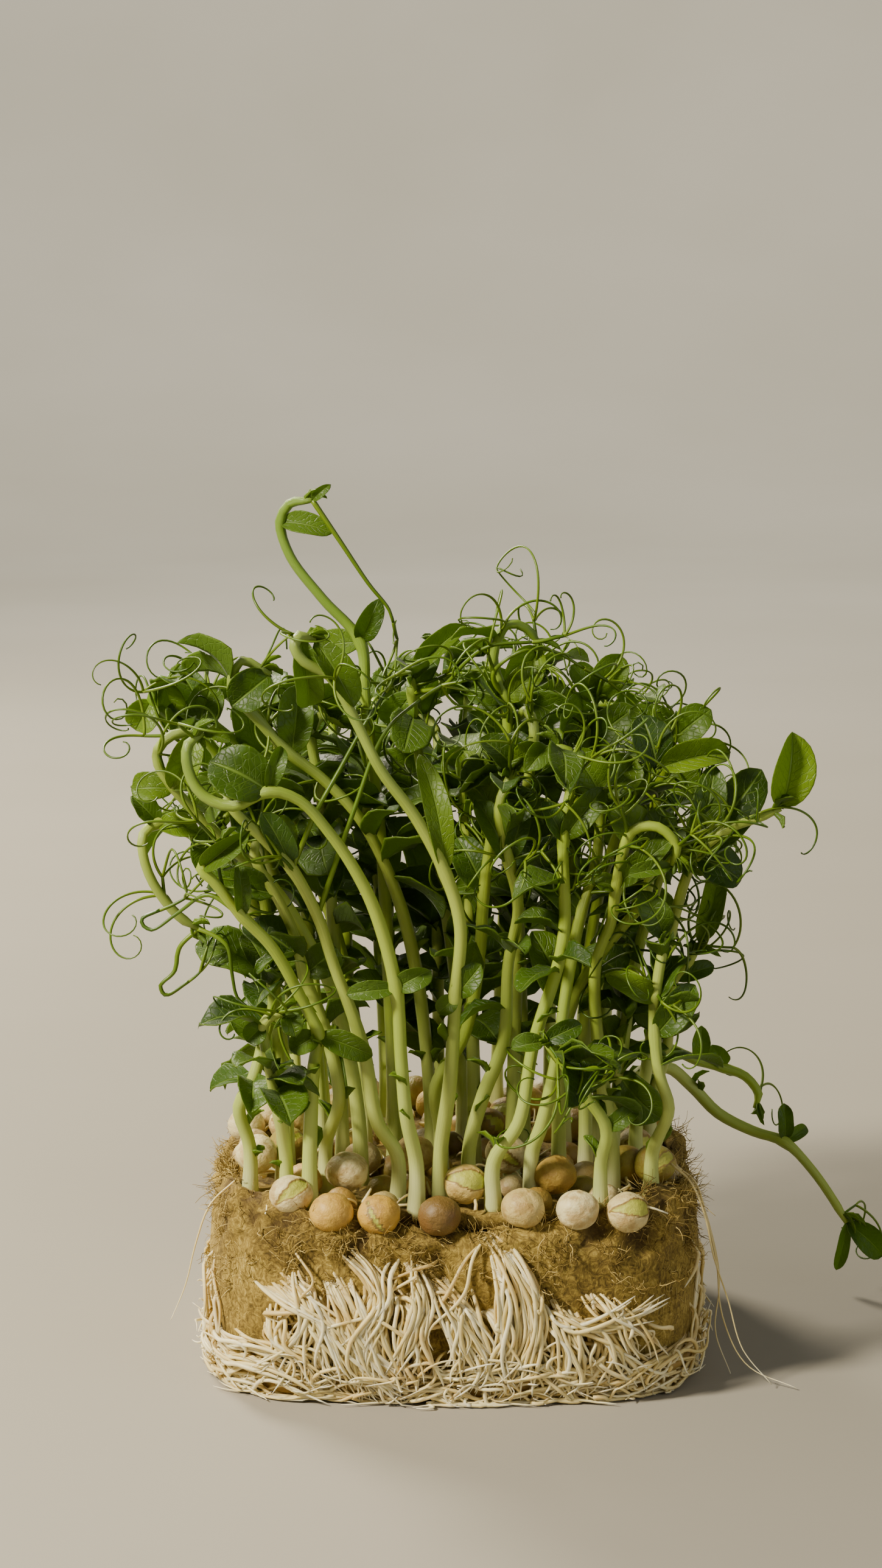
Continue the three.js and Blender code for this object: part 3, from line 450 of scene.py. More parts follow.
# painted highlight: the blade's edge is lightened to yellow green, as where light shines through its rim
leaf_rim_painted_highlight = leaf.fade(leaf_across, 0.93, 1.0)
leaf_colour = leaf.blend(leaf.maths("MULTIPLY", leaf_rim_painted_highlight, 0.35), leaf_veined, rgb(118, 146, 28))
leaf.colour(leaf_colour)
leaf_glow = leaf.blend(leaf.maths("MULTIPLY", vein_fine, 0.5), rgb(144, 172, 4), rgb(90, 124, 4))
leaf_height = leaf.maths("SUBTRACT", leaf.maths("MULTIPLY", leaf.noise(420.0, 3.0, 0.5), 0.5), vein_fine)
leaf.bump(leaf_height, 0.0005, 0.6)
leaf.surface.inputs["Sheen Weight"].default_value = 0.08
leaf.surface.inputs["Sheen Roughness"].default_value = 0.4
leaf.shine_through(0.42, leaf_glow)
print("finish:", leaf.material.name)

# %% [markdown]
# ## Finish of the tendrils
# Tendrils and thin leaf stalks are smooth, fresh green where they leave the stem and darker
# towards their curled tips. They need no veins, so a ramp along each thread is enough.

# %% Tendril finish
tendril_finish = Finish("thin_green_tendril", 0.38, 0.5)
curl_shade, curl_along, _ = tendril_finish.tones()
curl_run = tendril_finish.ramp(curl_along, [
    (0.0, rgb(118, 144, 26)), (0.45, rgb(82, 114, 14)), (1.0, rgb(52, 84, 8)),
])
curl_share = tendril_finish.maths("MULTIPLY", curl_shade, 0.5)
curl_colour = tendril_finish.blend(curl_share, curl_run, rgb(114, 142, 24))
tendril_finish.colour(curl_colour)
tendril_finish.bump(tendril_finish.noise(900.0, 2.0), 0.0001, 0.3)
tendril_finish.shine_through(0.25, rgb(130, 150, 20))
print("finish:", tendril_finish.material.name)

# %% [markdown]
# ## A heap of closed bodies
# A shoot is a stem, some leaves and many tendrils, and a root mat is hundreds of roots. Making a
# Blender object for each would be slow, so each body is added to a heap as plain arrays, and the
# heap is turned into one mesh. All lengths are in millimetres until then. Every point carries
# three values, the tone, which the finishes read.

# %% Heaps of closed bodies
class Heap:
    """Closed bodies that will become one mesh."""

    def __init__(self):
        self.points, self.uvs, self.tones = [], [], []
        self.quads, self.triangles = [], []
        self.quad_finish, self.triangle_finish = [], []
        self.count = 0

    def add(self, points, quads, triangles, uv, tone, finish=0):
        """Adds points with their faces; finish says which of the finishes they wear."""
        points = np.asarray(points, float).reshape(-1, 3)
        self.points.append(points)
        self.uvs.append(np.broadcast_to(uv, (len(points), 2)))
        self.tones.append(np.broadcast_to(tone, (len(points), 3)))
        for faces, store, finishes in (
            (quads, self.quads, self.quad_finish),
            (triangles, self.triangles, self.triangle_finish),
        ):
            if len(faces):
                store.append(np.asarray(faces, np.int64) + self.count)
                finishes.append(np.full(len(faces), finish))
        self.count += len(points)

    def triangle_count(self):
        return 2 * sum(len(q) for q in self.quads) + sum(len(t) for t in self.triangles)


def cast(name, heap, finishes, nodes=()):
    """Turns a heap into a mesh object that rides with the block and stands for its nodes."""
    quads = np.concatenate(heap.quads) if heap.quads else np.zeros((0, 4), np.int64)
    triangles = np.concatenate(heap.triangles) if heap.triangles else np.zeros((0, 3), np.int64)
    corners = np.concatenate([quads.ravel(), triangles.ravel()]).astype(np.int32)
    starts = np.concatenate([
        np.arange(len(quads)) * 4,
        len(quads) * 4 + np.arange(len(triangles)) * 3,
    ]).astype(np.int32)
    which = np.concatenate(heap.quad_finish + heap.triangle_finish).astype(np.int32)
    points = np.concatenate(heap.points) * MM
    mesh = bpy.data.meshes.new(name)
    mesh.vertices.add(len(points))
    mesh.vertices.foreach_set("co", points.astype(np.float32).ravel())
    mesh.loops.add(len(corners))
    mesh.loops.foreach_set("vertex_index", corners)
    mesh.polygons.add(len(starts))
    mesh.polygons.foreach_set("loop_start", starts)
    mesh.polygons.foreach_set("material_index", which)
    mesh.polygons.foreach_set("use_smooth", np.ones(len(starts), bool))
    layer = mesh.uv_layers.new(name="surface")
    layer.data.foreach_set("uv", np.concatenate(heap.uvs)[corners].astype(np.float32).ravel())
    tones = np.concatenate(heap.tones)
    carried = mesh.color_attributes.new(name="tone", type="FLOAT_COLOR", domain="POINT")
    carried.data.foreach_set("color", np.c_[tones, np.ones(len(tones))].astype(np.float32).ravel())
    for finish in finishes:
        mesh.materials.append(finish.material)
    mesh.update()
    item = bpy.data.objects.new(name, mesh)
    bpy.context.collection.objects.link(item)
    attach(item, "root")
    if nodes:
        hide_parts(*nodes)


# %% [markdown]
# ## Threads
# Stems, roots, tendrils and felt fibres are all the same thing: a round stalk that follows a path
# and changes its thickness on the way. Many of them with the same number of steps are made at
# once with array sums, which is much faster than one by one. A ring of points is carried along
# each path without twisting, and both ends are closed.

# %% Threads along many paths at once
TINY = 1e-12
# a direction that hardly any path starts along, and the number of ribs round a ribbed stalk
ASKEW = (1.0, 0.31, 0.12)
RIBS = 4


def unit(vectors):
    length = np.linalg.norm(vectors, axis=-1, keepdims=True)
    return vectors / np.maximum(length, TINY)


def ring_faces(rings, sides):
    """Faces of a closed body that is a first point, rings of points and a last point."""
    here = np.arange(sides)
    after = (here + 1) % sides
    low = 1 + np.arange(rings - 1)[:, None] * sides
    quads = np.stack([low + here, low + after, low + sides + after, low + sides + here], -1)
    top = 1 + (rings - 1) * sides
    caps = np.concatenate([
        np.stack([1 + after, 1 + here, np.zeros(sides, int)], -1),
        np.stack([top + here, top + after, np.full(sides, top + sides)], -1),
    ])
    return quads.reshape(-1, 4), caps


def threads(heap, paths, radii, shade, mark, sides=6, ribs=0.0, finish=0, along=None):
    """Adds one closed stalk for each path. paths is (number, steps, 3), radii (number, steps).

    The tone is a stalk's shade, how far along it a point is, and a mark: how deep a root lies,
    or 1 for a loose fibre.
    """
    paths = np.asarray(paths, float)
    number, steps, _ = paths.shape
    radii = np.broadcast_to(radii, (number, steps))
    ahead = unit(np.gradient(paths, axis=1))
    across = unit(np.cross(ahead[:, 0], ASKEW))
    turn = np.arange(sides) / sides * 2 * math.pi
    swell = 1 + ribs * np.cos(RIBS * turn)
    rings = np.empty((number, steps, sides, 3))
    for step in range(steps):
        forward = ahead[:, step]
        across = unit(across - forward * np.sum(across * forward, axis=1, keepdims=True))
        other = np.cross(forward, across)
        ring = np.cos(turn)[None, :, None] * across[:, None] + np.sin(turn)[None, :, None] * other[:, None]
        rings[:, step] = paths[:, step, None] + radii[:, step, None, None] * ring * swell[None, :, None]
    points = np.concatenate([paths[:, :1], rings.reshape(number, -1, 3), paths[:, -1:]], axis=1)
    each = points.shape[1]
    quads, caps = ring_faces(steps, sides)
    shift = (np.arange(number) * each)[:, None, None]
    share = np.repeat(np.linspace(0, 1, steps), sides)
    share = np.concatenate([[0.0], share, [1.0]])
    run = np.tile(share, (number, 1))
    u = np.concatenate([[0.5], np.tile(np.abs(2 * np.arange(sides) / sides - 1), steps), [0.5]])
    uv = np.stack([np.tile(u, (number, 1)), run], -1)
    tone = np.empty((number, each, 3))
    tone[..., 0] = np.asarray(shade).reshape(-1, 1)
    tone[..., 1] = run if along is None else along
    tone[..., 2] = np.asarray(mark).reshape(-1, 1)
    heap.add(
        points, (quads[None] + shift).reshape(-1, 4), (caps[None] + shift).reshape(-1, 3),
        uv.reshape(-1, 2), tone.reshape(-1, 3), finish,
    )


def smooth_route(points, spacing):
    """A soft curve through a run of points, with a point about every spacing millimetres."""
    points = np.asarray(points, float)
    gaps = np.linalg.norm(np.diff(points, axis=0), axis=1) ** 0.5
    times = np.concatenate([[0.0], np.cumsum(gaps)])
    slopes = np.gradient(points, times, axis=0)
    route = [points[:1]]
    for k in range(len(points) - 1):
        span = times[k + 1] - times[k]
        steps = max(2, int(round(np.linalg.norm(points[k + 1] - points[k]) / spacing)))
        share = (np.arange(1, steps + 1) / steps)[:, None]
        route.append(
            (2 * share**3 - 3 * share**2 + 1) * points[k]
            + (share**3 - 2 * share**2 + share) * span * slopes[k]
            + (3 * share**2 - 2 * share**3) * points[k + 1]
            + (share**3 - share**2) * span * slopes[k + 1]
        )
    return np.concatenate(route)


def resample(route, steps):
    """The same route with an equal step between its points."""
    run = np.concatenate([[0.0], np.cumsum(np.linalg.norm(np.diff(route, axis=0), axis=1))])
    wanted = np.linspace(0, run[-1], steps)
    return np.stack([np.interp(wanted, run, route[:, k]) for k in range(3)], -1)


OCTAVES = 3
WAVES = 6


def ripple(points, size, seed):
    """Smooth heights between about -1 and 1 over the points, with bumps about size millimetres."""
    draw = np.random.default_rng(seed)
    total = np.zeros(points.shape[:-1])
    for octave in range(OCTAVES):
        for _ in range(WAVES):
            way = unit(draw.normal(size=3))
            start = draw.uniform(0, 2 * math.pi)
            total += np.sin(points @ way * (2 * math.pi * 2**octave / size) + start) / 2**octave
    return total / WAVES


# %% [markdown]
# ## The block's outline
# The block is a rounded square in plan that swells a little at mid height. The same formula gives
# the felt's skin, the roots' bed and the place of every pea, so the layers always fit. These
# numbers are the ones that the solids were made with.

# %% Outline of the block
HALF_WIDTH, HALF_DEPTH = 52, 50
WIDEST_AT = 22
PLAN_POWER = 4
FOOT_TAPER, TOP_TAPER = 0.055, 0.03
LUMP, LUMPS, LUMP_SLANT = 0.5, 7, 8
ROOT_FLOOR = 2.4
FELT_BOTTOM = ROOT_FLOOR + 0.4
POCKET_FLOOR = 35.3
SEED_BOTTOM = POCKET_FLOOR + 0.4
SEED_TOP = 42.4
RIM_HEIGHT = 39


def block_swell(height):
    """The block's width at a height, as a share of its greatest width."""
    taper = np.where(height < WIDEST_AT, FOOT_TAPER, TOP_TAPER)
    return 1 - taper * ((height - WIDEST_AT) / WIDEST_AT) ** 2


def lump(angle, height):
    return LUMP * np.sin(LUMPS * angle + height / LUMP_SLANT)


def side(angle, height, out=0.0):
    """A point on the block's skin, or out millimetres outside it."""
    angle, height = np.asarray(angle, float), np.asarray(height, float)
    c, s = np.cos(angle), np.sin(angle)
    plan = (np.abs(c / HALF_WIDTH) ** PLAN_POWER + np.abs(s / HALF_DEPTH) ** PLAN_POWER) ** (-1 / PLAN_POWER)
    radius = plan * block_swell(height) + lump(angle, height) + out
    return np.stack([c * radius, s * radius, height + 0 * radius], -1)


def all_round(turns):
    """Angles once round the block, in equal steps."""
    return np.arange(turns) / turns * 2 * math.pi - math.pi


def away(points):
    """The level direction from the block's middle to each point."""
    return unit(points * (1, 1, 0))


def near(angle, centre, spread):
    """1 at the centre, and fading to 0 on both sides of it."""
    return np.exp(-(((angle - centre) / spread) ** 2))


CORNER_RISE, MIDDLE_DIP = 4, 3
LEFT_FRONT, FRONT_MIDDLE, RIGHT_FRONT = -2.35, -1.57, -0.78


def rim_height(angle):
    """The felt stands up at the two front corners and dips between them."""
    return (
        RIM_HEIGHT
        + CORNER_RISE * near(angle, LEFT_FRONT, 0.22)
        + CORNER_RISE * near(angle, RIGHT_FRONT, 0.2)
        - MIDDLE_DIP * near(angle, FRONT_MIDDLE, 0.5)
        + 0.6 * np.sin(9 * angle)
    )


def within_block(x, y, edge):
    """Whether a place in plan lies more than edge millimetres inside the rim."""
    limit = side(math.atan2(y, x), RIM_HEIGHT, -edge)
    return math.hypot(x, y) < math.hypot(limit[0], limit[1])


def keeps_off(x, y, others, gap):
    """Whether a place in plan is more than gap millimetres away from all the others."""
    return all(math.hypot(other[0] - x, other[1] - y) > gap for other in others)


DICE_FACTOR, DICE_SIDES = 16807, 2147483647


def dice(seed):
    """A run of random numbers between 0 and 1 that is the same on every machine."""
    state = [seed]

    def roll():
        state[0] = (state[0] * DICE_FACTOR) % DICE_SIDES
        return state[0] / DICE_SIDES

    return roll


print("block", 2 * HALF_WIDTH, "x", 2 * HALF_DEPTH, "mm, felt rim about", RIM_HEIGHT, "mm high")

# %% [markdown]
# ## Where the shoots stand
# Thirty shoots were set against the photograph. For each, foot is where the stem leaves the peas, stem the
# points that it bends through, leaves the stem point, tip, width and fold in degrees of each leaf, and curls
# the stem point and the points of thin stalks. Points are x, y, z in millimetres. The shoots inside and at
# the back grow by a rule with seeded dice.

# %% Shoots listed one by one
SHOOTS_BY_EYE = [
    # the tallest, standing clear of the others and bent over at its tip
    {"foot": (-13, -8),
     "stem": [(-14, -8, 81), (-16, -6, 114), (-19, -4, 140), (-20, -2, 152), (-28, 0, 161),
              (-35, 2, 170), (-37, 3, 177), (-35, 2, 181), (-30, -1, 182)],
     "leaves": [(5, -17, -5, 160, 5, 25), (5, -28, 3, 150, 6, 20), (8, -27, 0, 176, 5, 30),
                (10, -27, -3, 185, 2.5, 40)],
     "curls": [(10, [(-24, -1, 173), (-18, -1, 164), (-14, -1, 159), (-13, -1, 156)])]},
    # long pale stem across the middle with a nodding, leafy hook
    {"foot": (-3, -34),
     "stem": [(-1, -39, 66), (0, -41, 84), (1, -43, 99), (-2, -44, 110), (-8, -46, 122),
              (-15, -48, 132), (-20, -48, 142), (-25, -49, 151), (-30, -50, 154), (-32, -50, 157),
              (-31, -49, 159), (-28, -47, 158)],
     "leaves": [(13, -21, -49, 146, 7, 30), (12, -29, -44, 144, 6.4, 35), (5, -5, -41, 132, 5.5, 30),
                (3, 5, -42, 90, 5, 25), (3, -3, -42, 81, 4, 25)]},
    # hooked loop at the left with a big round leaf
    {"foot": (-8, -42),
     "stem": [(-10, -45, 60), (-11, -46, 72), (-12, -47, 87), (-16, -49, 103), (-20, -51, 112),
              (-25, -53, 120), (-31, -55, 127), (-37, -56, 129), (-44, -56, 126), (-50, -55, 128),
              (-53, -54, 133), (-53, -53, 138), (-50, -52, 140)],
     "leaves": [(9, -47, -57, 135, 10, 15), (9, -35, -54, 137, 4, 35), (4, -6, -48, 91, 5, 30),
                (4, -21, -48, 86, 4, 30), (14, -45, -53, 139, 3, 40)]},
    # outer hook at the left, curled over a cupped leaf
    {"foot": (-20, -22),
     "stem": [(-22, -22, 66), (-26, -24, 82), (-34, -28, 99), (-40, -32, 108), (-47, -36, 115),
              (-57, -40, 127), (-60, -41, 132), (-60, -41, 135), (-57, -41, 138), (-52, -40, 138)],
     "leaves": [(11, -57, -42, 128, 7, 35), (7, -65, -38, 126, 6, 25)]},
    # stem that divides into two thin leaf stalks
    {"foot": (-12, -35),
     "stem": [(-16, -36, 56), (-19, -38, 73), (-25, -40, 91), (-28, -42, 101), (-33, -44, 111),
              (-38, -46, 117), (-44, -47, 123), (-47, -46, 127)],
     "leaves": [(6, -38, -45, 122, 5.5, 25), (9, -51, -43, 122, 6, 30)],
     "curls": [(6, [(-28, -46, 123), (-23, -45, 132), (-18, -44, 141), (-14, -43, 147)]),
               (5, [(-20, -41, 124), (-16, -40, 135), (-13, -40, 140), (-7, -39, 145)])]},
    # the drooping one at the far left, ending in forked tendrils
    {"foot": (-36, -10),
     "stem": [(-37, -12, 69), (-40, -16, 88), (-44, -20, 104), (-53, -26, 114), (-61, -30, 118),
              (-64, -32, 116), (-64, -33, 112), (-62, -33, 106), (-57, -32, 99), (-53, -31, 96)],
     "leaves": [(6, -66, -31, 123, 5, 25), (6, -53, -33, 117, 5.5, 35)],
     "curls": [(11, [(-57, -31, 92), (-58, -31, 87), (-61, -31, 84), (-60, -31, 82), (-55, -31, 85)]),
               (11, [(-50, -32, 95), (-47, -33, 93), (-46, -33, 87), (-45, -33, 82), (-43, -33, 80)])]},
    # kinked stem with a clamshell leaf
    {"foot": (-30, -39),
     "stem": [(-29, -40, 69), (-28, -41, 76), (-31, -42, 83), (-37, -45, 95), (-43, -47, 102),
              (-49, -49, 110), (-51, -49, 112), (-49, -48, 115), (-45, -46, 117)],
     "leaves": [(8, -42, -49, 119, 7, 55), (6, -43, -49, 112, 4, 40), (3, -33, -42, 73, 5, 25),
                (3, -18, -42, 72, 5, 25)],
     "curls": [(6, [(-50, -45, 106), (-56, -43, 102), (-62, -42, 98), (-64, -41, 100),
                   (-60, -41, 102)])]},
    {"foot": (-27, -27),
     "stem": [(-24, -34, 61), (-27, -34, 76), (-31, -35, 87), (-33, -36, 96), (-36, -37, 103),
              (-41, -38, 113), (-40, -36, 117)],
     "leaves": [(8, -33, -34, 116, 7, 20), (4, -25, -33, 92, 7, 25), (8, -44, -34, 119, 6, 25)]},
    # short one low at the front left
    {"foot": (-35, -37),
     "stem": [(-36, -41, 59), (-38, -44, 71), (-39, -45, 79), (-37, -45, 81), (-34, -44, 81)],
     "leaves": [(4, -42, -46, 76, 5, 35), (6, -32, -44, 77, 5, 35), (2, -31, -44, 62, 4, 25)]},
    {"foot": (-43, -28),
     "stem": [(-45, -30, 58), (-42, -30, 64), (-40, -28, 71), (-38, -26, 79), (-39, -24, 85)],
     "leaves": [(6, -43, -22, 93, 6, 25), (4, -46, -30, 76, 4, 25)]},
    {"foot": (-3, -17),
     "stem": [(-4, -21, 60), (2, -25, 72), (5, -27, 88), (6, -27, 103), (8, -27, 119), (9, -25, 126),
              (7, -24, 130)],
     "leaves": [(6, 2, -26, 131, 7, 25), (8, 14, -26, 133, 7, 25), (5, 1, -24, 113, 7, 20)]},
    {"foot": (3, -30),
     "stem": [(6, -31, 61), (10, -32, 72), (11, -32, 89), (13, -33, 101), (11, -34, 111),
              (9, -35, 122), (12, -33, 130)],
     "leaves": [(6, 5, -35, 122, 6, 25), (6, 14, -34, 122, 4.5, 30), (8, 6, -34, 136, 6, 30),
                (8, 17, -33, 134, 6, 30)]},
    # ring-shaped hook right of the middle
    {"foot": (8, -40),
     "stem": [(13, -43, 58), (16, -41, 74), (22, -39, 95), (22, -38, 116), (23, -37, 124),
              (24, -36, 130), (23, -36, 134), (19, -36, 135)],
     "leaves": [(5, 29, -38, 126, 6, 35), (5, 18, -39, 123, 4, 25), (9, 14, -38, 131, 5, 30)]},
    {"foot": (22, -21),
     "stem": [(22, -24, 64), (24, -27, 78), (28, -29, 87), (35, -31, 97), (39, -31, 102),
              (40, -31, 107), (40, -30, 112)],
     "leaves": [(3, 17, -28, 93, 9, 20), (8, 33, -29, 121, 8, 20), (8, 43, -28, 120, 7, 25)]},
    # short one with a leaf spread sideways, front right
    {"foot": (30, -41),
     "stem": [(31, -44, 57), (27, -46, 64), (23, -47, 70), (18, -47, 76)],
     "leaves": [(5, 12, -48, 75, 4.5, 35), (5, 25, -46, 79, 4.5, 30), (2, 37, -45, 61, 4, 25)]},
    {"foot": (16, -34),
     "stem": [(18, -36, 56), (21, -35, 70), (23, -33, 84), (26, -30, 99), (29, -28, 109),
              (30, -26, 118), (30, -25, 123)],
     "leaves": [(8, 25, -25, 132, 8, 25), (8, 38, -26, 129, 8, 25), (5, 18, -28, 106, 7, 20)]},
    # hook at the right with a grey leaf hanging in it
    {"foot": (33, -28),
     "stem": [(30, -29, 68), (29, -32, 89), (32, -34, 98), (33, -36, 106), (36, -39, 118),
              (41, -40, 119), (45, -40, 115), (44, -40, 111)],
     "leaves": [(5, 43, -40, 116, 5, 25), (5, 29, -37, 107, 4, 30), (9, 36, -41, 109, 4, 40)]},
    {"foot": (41, -34),
     "stem": [(44, -39, 60), (42, -39, 67), (41, -38, 75), (41, -37, 82), (43, -35, 95)],
     "leaves": [(5, 33, -39, 88, 5, 30), (6, 39, -36, 104, 6, 25), (4, 49, -38, 84, 6.5, 25)]},
    # the one reaching furthest right, ending in a large closed leaf
    {"foot": (39, -10),
     "stem": [(41, -12, 62), (43, -16, 78), (45, -20, 92), (49, -26, 110), (53, -28, 114),
              (57, -29, 117), (62, -30, 119), (67, -30, 121)],
     "leaves": [(9, 70, -30, 135, 9.5, 30), (5, 52, -28, 127, 7, 25), (5, 62, -24, 126, 9, 20),
                (5, 58, -26, 106, 8, 20)]},
    # stem with a pod-like folded leaf
    {"foot": (43, 5),
     "stem": [(46, 2, 62), (47, -6, 80), (50, -8, 84), (52, -9, 88)],
     "leaves": [(5, 57, -8, 103, 6.5, 45), (3, 55, -5, 82, 4, 25)]},
    # a shoot that has toppled over the right edge and trails towards the floor
    {"foot": (41, 31),
     "stem": [(48, 32, 51), (54, 34, 46), (60, 33, 40), (68, 32, 36), (75, 30, 34), (81, 29, 28),
              (86, 28, 21), (89, 27, 16)],
     "leaves": [(6, 75, 31, 42, 3.5, 25), (6, 80, 33, 37, 3, 25), (9, 97, 27, 9, 6, 30),
                (9, 87, 26, 6, 3, 30)]},
    {"foot": (35, 38),
     "stem": [(45, 41, 54), (56, 42, 50), (62, 43, 48), (67, 43, 46), (70, 42, 42), (69, 41, 39)],
     "leaves": [(4, 60, 42, 53, 4, 25), (3, 57, 41, 57, 4, 25), (2, 51, 41, 60, 4, 25)]},
    # dark loop above the left hooks
    {"foot": (-5, -6),
     "stem": [(-8, -8, 81), (-13, -14, 102), (-20, -18, 117), (-28, -20, 126), (-34, -22, 131),
              (-41, -24, 139), (-46, -25, 145), (-44, -25, 151), (-38, -24, 148)],
     "leaves": [(10, -45, -26, 142, 8.5, 30), (6, -32, -21, 144, 7, 20)]},
    {"foot": (2, 10),
     "stem": [(0, 8, 78), (-4, 4, 106), (-8, 0, 130), (-9, -2, 141), (-9, -3, 146)],
     "leaves": [(6, 1, -3, 155, 6.5, 50), (5, -4, 0, 151, 5, 25), (5, -14, 2, 134, 7, 20)],
     "curls": [(5, [(-2, -10, 144), (2, -14, 149), (7, -17, 153), (16, -18, 154)])]},
    # round hooked head at the top
    {"foot": (15, -5),
     "stem": [(14, -7, 81), (13, -9, 108), (12, -11, 128), (11, -12, 141), (8, -12, 150),
              (11, -12, 157), (15, -11, 156), (18, -10, 152)],
     "leaves": [(9, 12, -11, 144, 8.5, 35), (5, 18, -13, 148, 6, 25), (5, 4, -10, 143, 6, 25)],
     "curls": [(5, [(8, -15, 147), (14, -17, 152), (20, -16, 152), (27, -14, 148)])]},
    {"foot": (28, -12),
     "stem": [(28, -14, 83), (31, -16, 103), (35, -19, 116), (39, -21, 124), (42, -22, 128)],
     "leaves": [(6, 56, -23, 132, 8, 45), (6, 39, -20, 138, 8, 20), (5, 47, -18, 134, 7, 20)]},
    # highest one at the far left
    {"foot": (-29, 0),
     "stem": [(-32, -3, 80), (-40, -9, 108), (-48, -13, 127), (-54, -16, 135), (-59, -17, 138),
              (-63, -18, 142), (-61, -17, 146), (-58, -16, 145)],
     "leaves": [(7, -66, -18, 136, 7, 30), (8, -58, -15, 136, 6, 30), (5, -51, -14, 144, 7, 20)]},
    {"foot": (-20, 12),
     "stem": [(-24, 8, 80), (-33, 0, 110), (-42, -6, 128), (-48, -8, 133), (-53, -9, 137),
              (-57, -10, 139)],
     "leaves": [(6, -57, -9, 147, 6, 25), (4, -45, -5, 140, 7, 20)]},
    {"foot": (24, 8),
     "stem": [(24, 6, 82), (26, 2, 112), (28, -2, 130), (30, -4, 140)],
     "leaves": [(5, 34, -4, 149, 7, 20), (5, 25, -6, 147, 6, 20), (4, 37, -6, 137, 7, 20)]},
    {"foot": (36, 10),
     "stem": [(38, 6, 84), (41, -2, 108), (44, -6, 124), (46, -8, 132)],
     "leaves": [(5, 53, -10, 138, 7, 20), (5, 38, -8, 139, 7, 20), (4, 52, -8, 122, 7, 20)]},
]

# %% The rule for the inner and rear shoots
FOOT_HEIGHT, FOOT_TOP = 37.4, 49
STEM_RADIUS, STEM_TIP_RADIUS = 1.6, 1.05
TENDRIL_RADIUS = 0.55
FORK_RADIUS = 0.75
FILL_SHOOTS = 20
FILL_TRIES = 900
FILL_SPACING = 7.5
FILL_EDGE = 8.5
FILL_WIDTH = 86
FILL_FRONT, FILL_DEPTH = -20, 62
FILL_HEIGHT, HEIGHT_RANGE, EDGE_DROP = 112, 30, 0.2
BACK_LEAN, FRONT_LEAN = 23, 6
SWAY = 8
TO_VIEWER = np.array((0.15, -0.9, 0.4))


def fill_leaf(start, heading, rise, roll):
    """A leaf from a stem point, in about the given direction in plan."""
    length = 12 + 5 * roll()
    turn = heading + (roll() - 0.5)
    reach = unit(np.array((math.cos(turn), math.sin(turn), rise))) * length
    face = np.array((0.5 * math.cos(turn), 0.5 * math.sin(turn), 1))
    width = 7.5 + 3 * roll()
    return {"from": start, "reach": reach, "width": width, "cup": 15 + 20 * roll(), "face": face}


def fill_shoot(x, y, roll):
    """A shoot that rises, leans outwards and nods at its tip, with three leaves."""
    height = FILL_HEIGHT + HEIGHT_RANGE * roll() - EDGE_DROP * abs(x)
    lean_x = (x / HALF_WIDTH) * (6 + 14 * roll()) + SWAY * (roll() - 0.5)
    lean_back = BACK_LEAN if y > 0 else FRONT_LEAN
    lean_y = (y / HALF_DEPTH) * (lean_back + 12 * roll()) + SWAY * (roll() - 0.5)
    nod = roll() * 2 * math.pi
    rise = height - FOOT_TOP
    bends = [(0.4, FOOT_TOP + rise * 0.62), (0.75, FOOT_TOP + rise * 0.86), (1, height)]
    points = [(x, y, FOOT_HEIGHT), (x, y, FOOT_TOP)]
    points += [(x + lean_x * share, y + lean_y * share, z) for share, z in bends]
    top = np.array(points[-1])
    for reach, lift in ((3.5, 3), (8, 0)):
        points.append(tuple(top + (reach * math.cos(nod), reach * math.sin(nod), lift)))
    leaves = [
        fill_leaf(6, nod, -0.7, roll),
        fill_leaf(5, nod + 2.4, 0.4, roll),
        fill_leaf(3, nod + 4, 0.2, roll),
    ]
    line = {"points": np.array(points), "start": STEM_RADIUS, "tip": STEM_TIP_RADIUS}
    return {"lines": [line], "leaves": leaves}


def fill_shoots(feet):
    roll = dice(83)
    made = []
    tries = 0
    while len(made) < FILL_SHOOTS and tries < FILL_TRIES:
        tries += 1
        x = (roll() - 0.5) * FILL_WIDTH
        y = FILL_FRONT + roll() * FILL_DEPTH
        if within_block(x, y, FILL_EDGE) and keeps_off(x, y, feet, FILL_SPACING):
            feet.append((x, y))
            made.append(fill_shoot(x, y, roll))
    return made


def shoot_by_eye(entry):
    x, y = entry["foot"]
    points = np.array([(x, y, FOOT_HEIGHT), (x, y, FOOT_TOP), *entry["stem"]], float)
    lines = [{"points": points, "start": STEM_RADIUS, "tip": STEM_TIP_RADIUS}]
    for start, through in entry.get("curls", ()):
        path = np.array([points[start], *through], float)
        lines.append({"points": path, "start": FORK_RADIUS, "tip": TENDRIL_RADIUS, "from": start})
    leaves = []
    for start, tip_x, tip_y, tip_z, width, cup in entry["leaves"]:
        reach = np.array((tip_x, tip_y, tip_z)) - points[start]
        leaves.append({"from": start, "reach": reach, "width": width, "cup": cup, "face": TO_VIEWER})
    return {"lines": lines, "leaves": leaves}


shoots = [shoot_by_eye(entry) for entry in SHOOTS_BY_EYE]
shoots += fill_shoots([entry["foot"] for entry in SHOOTS_BY_EYE])
print("shoots:", len(shoots), "leaves:", sum(len(shoot["leaves"]) for shoot in shoots))

# %% [markdown]
# ## Stems that keep clear of each other
# Stems that would run through one another are pushed apart a little at a time, as growing stems
# push their way past each other. Each straight piece of a stem is compared with every piece of
# the other stems. The solids were bent by this same rule, so the fine stems land on them.

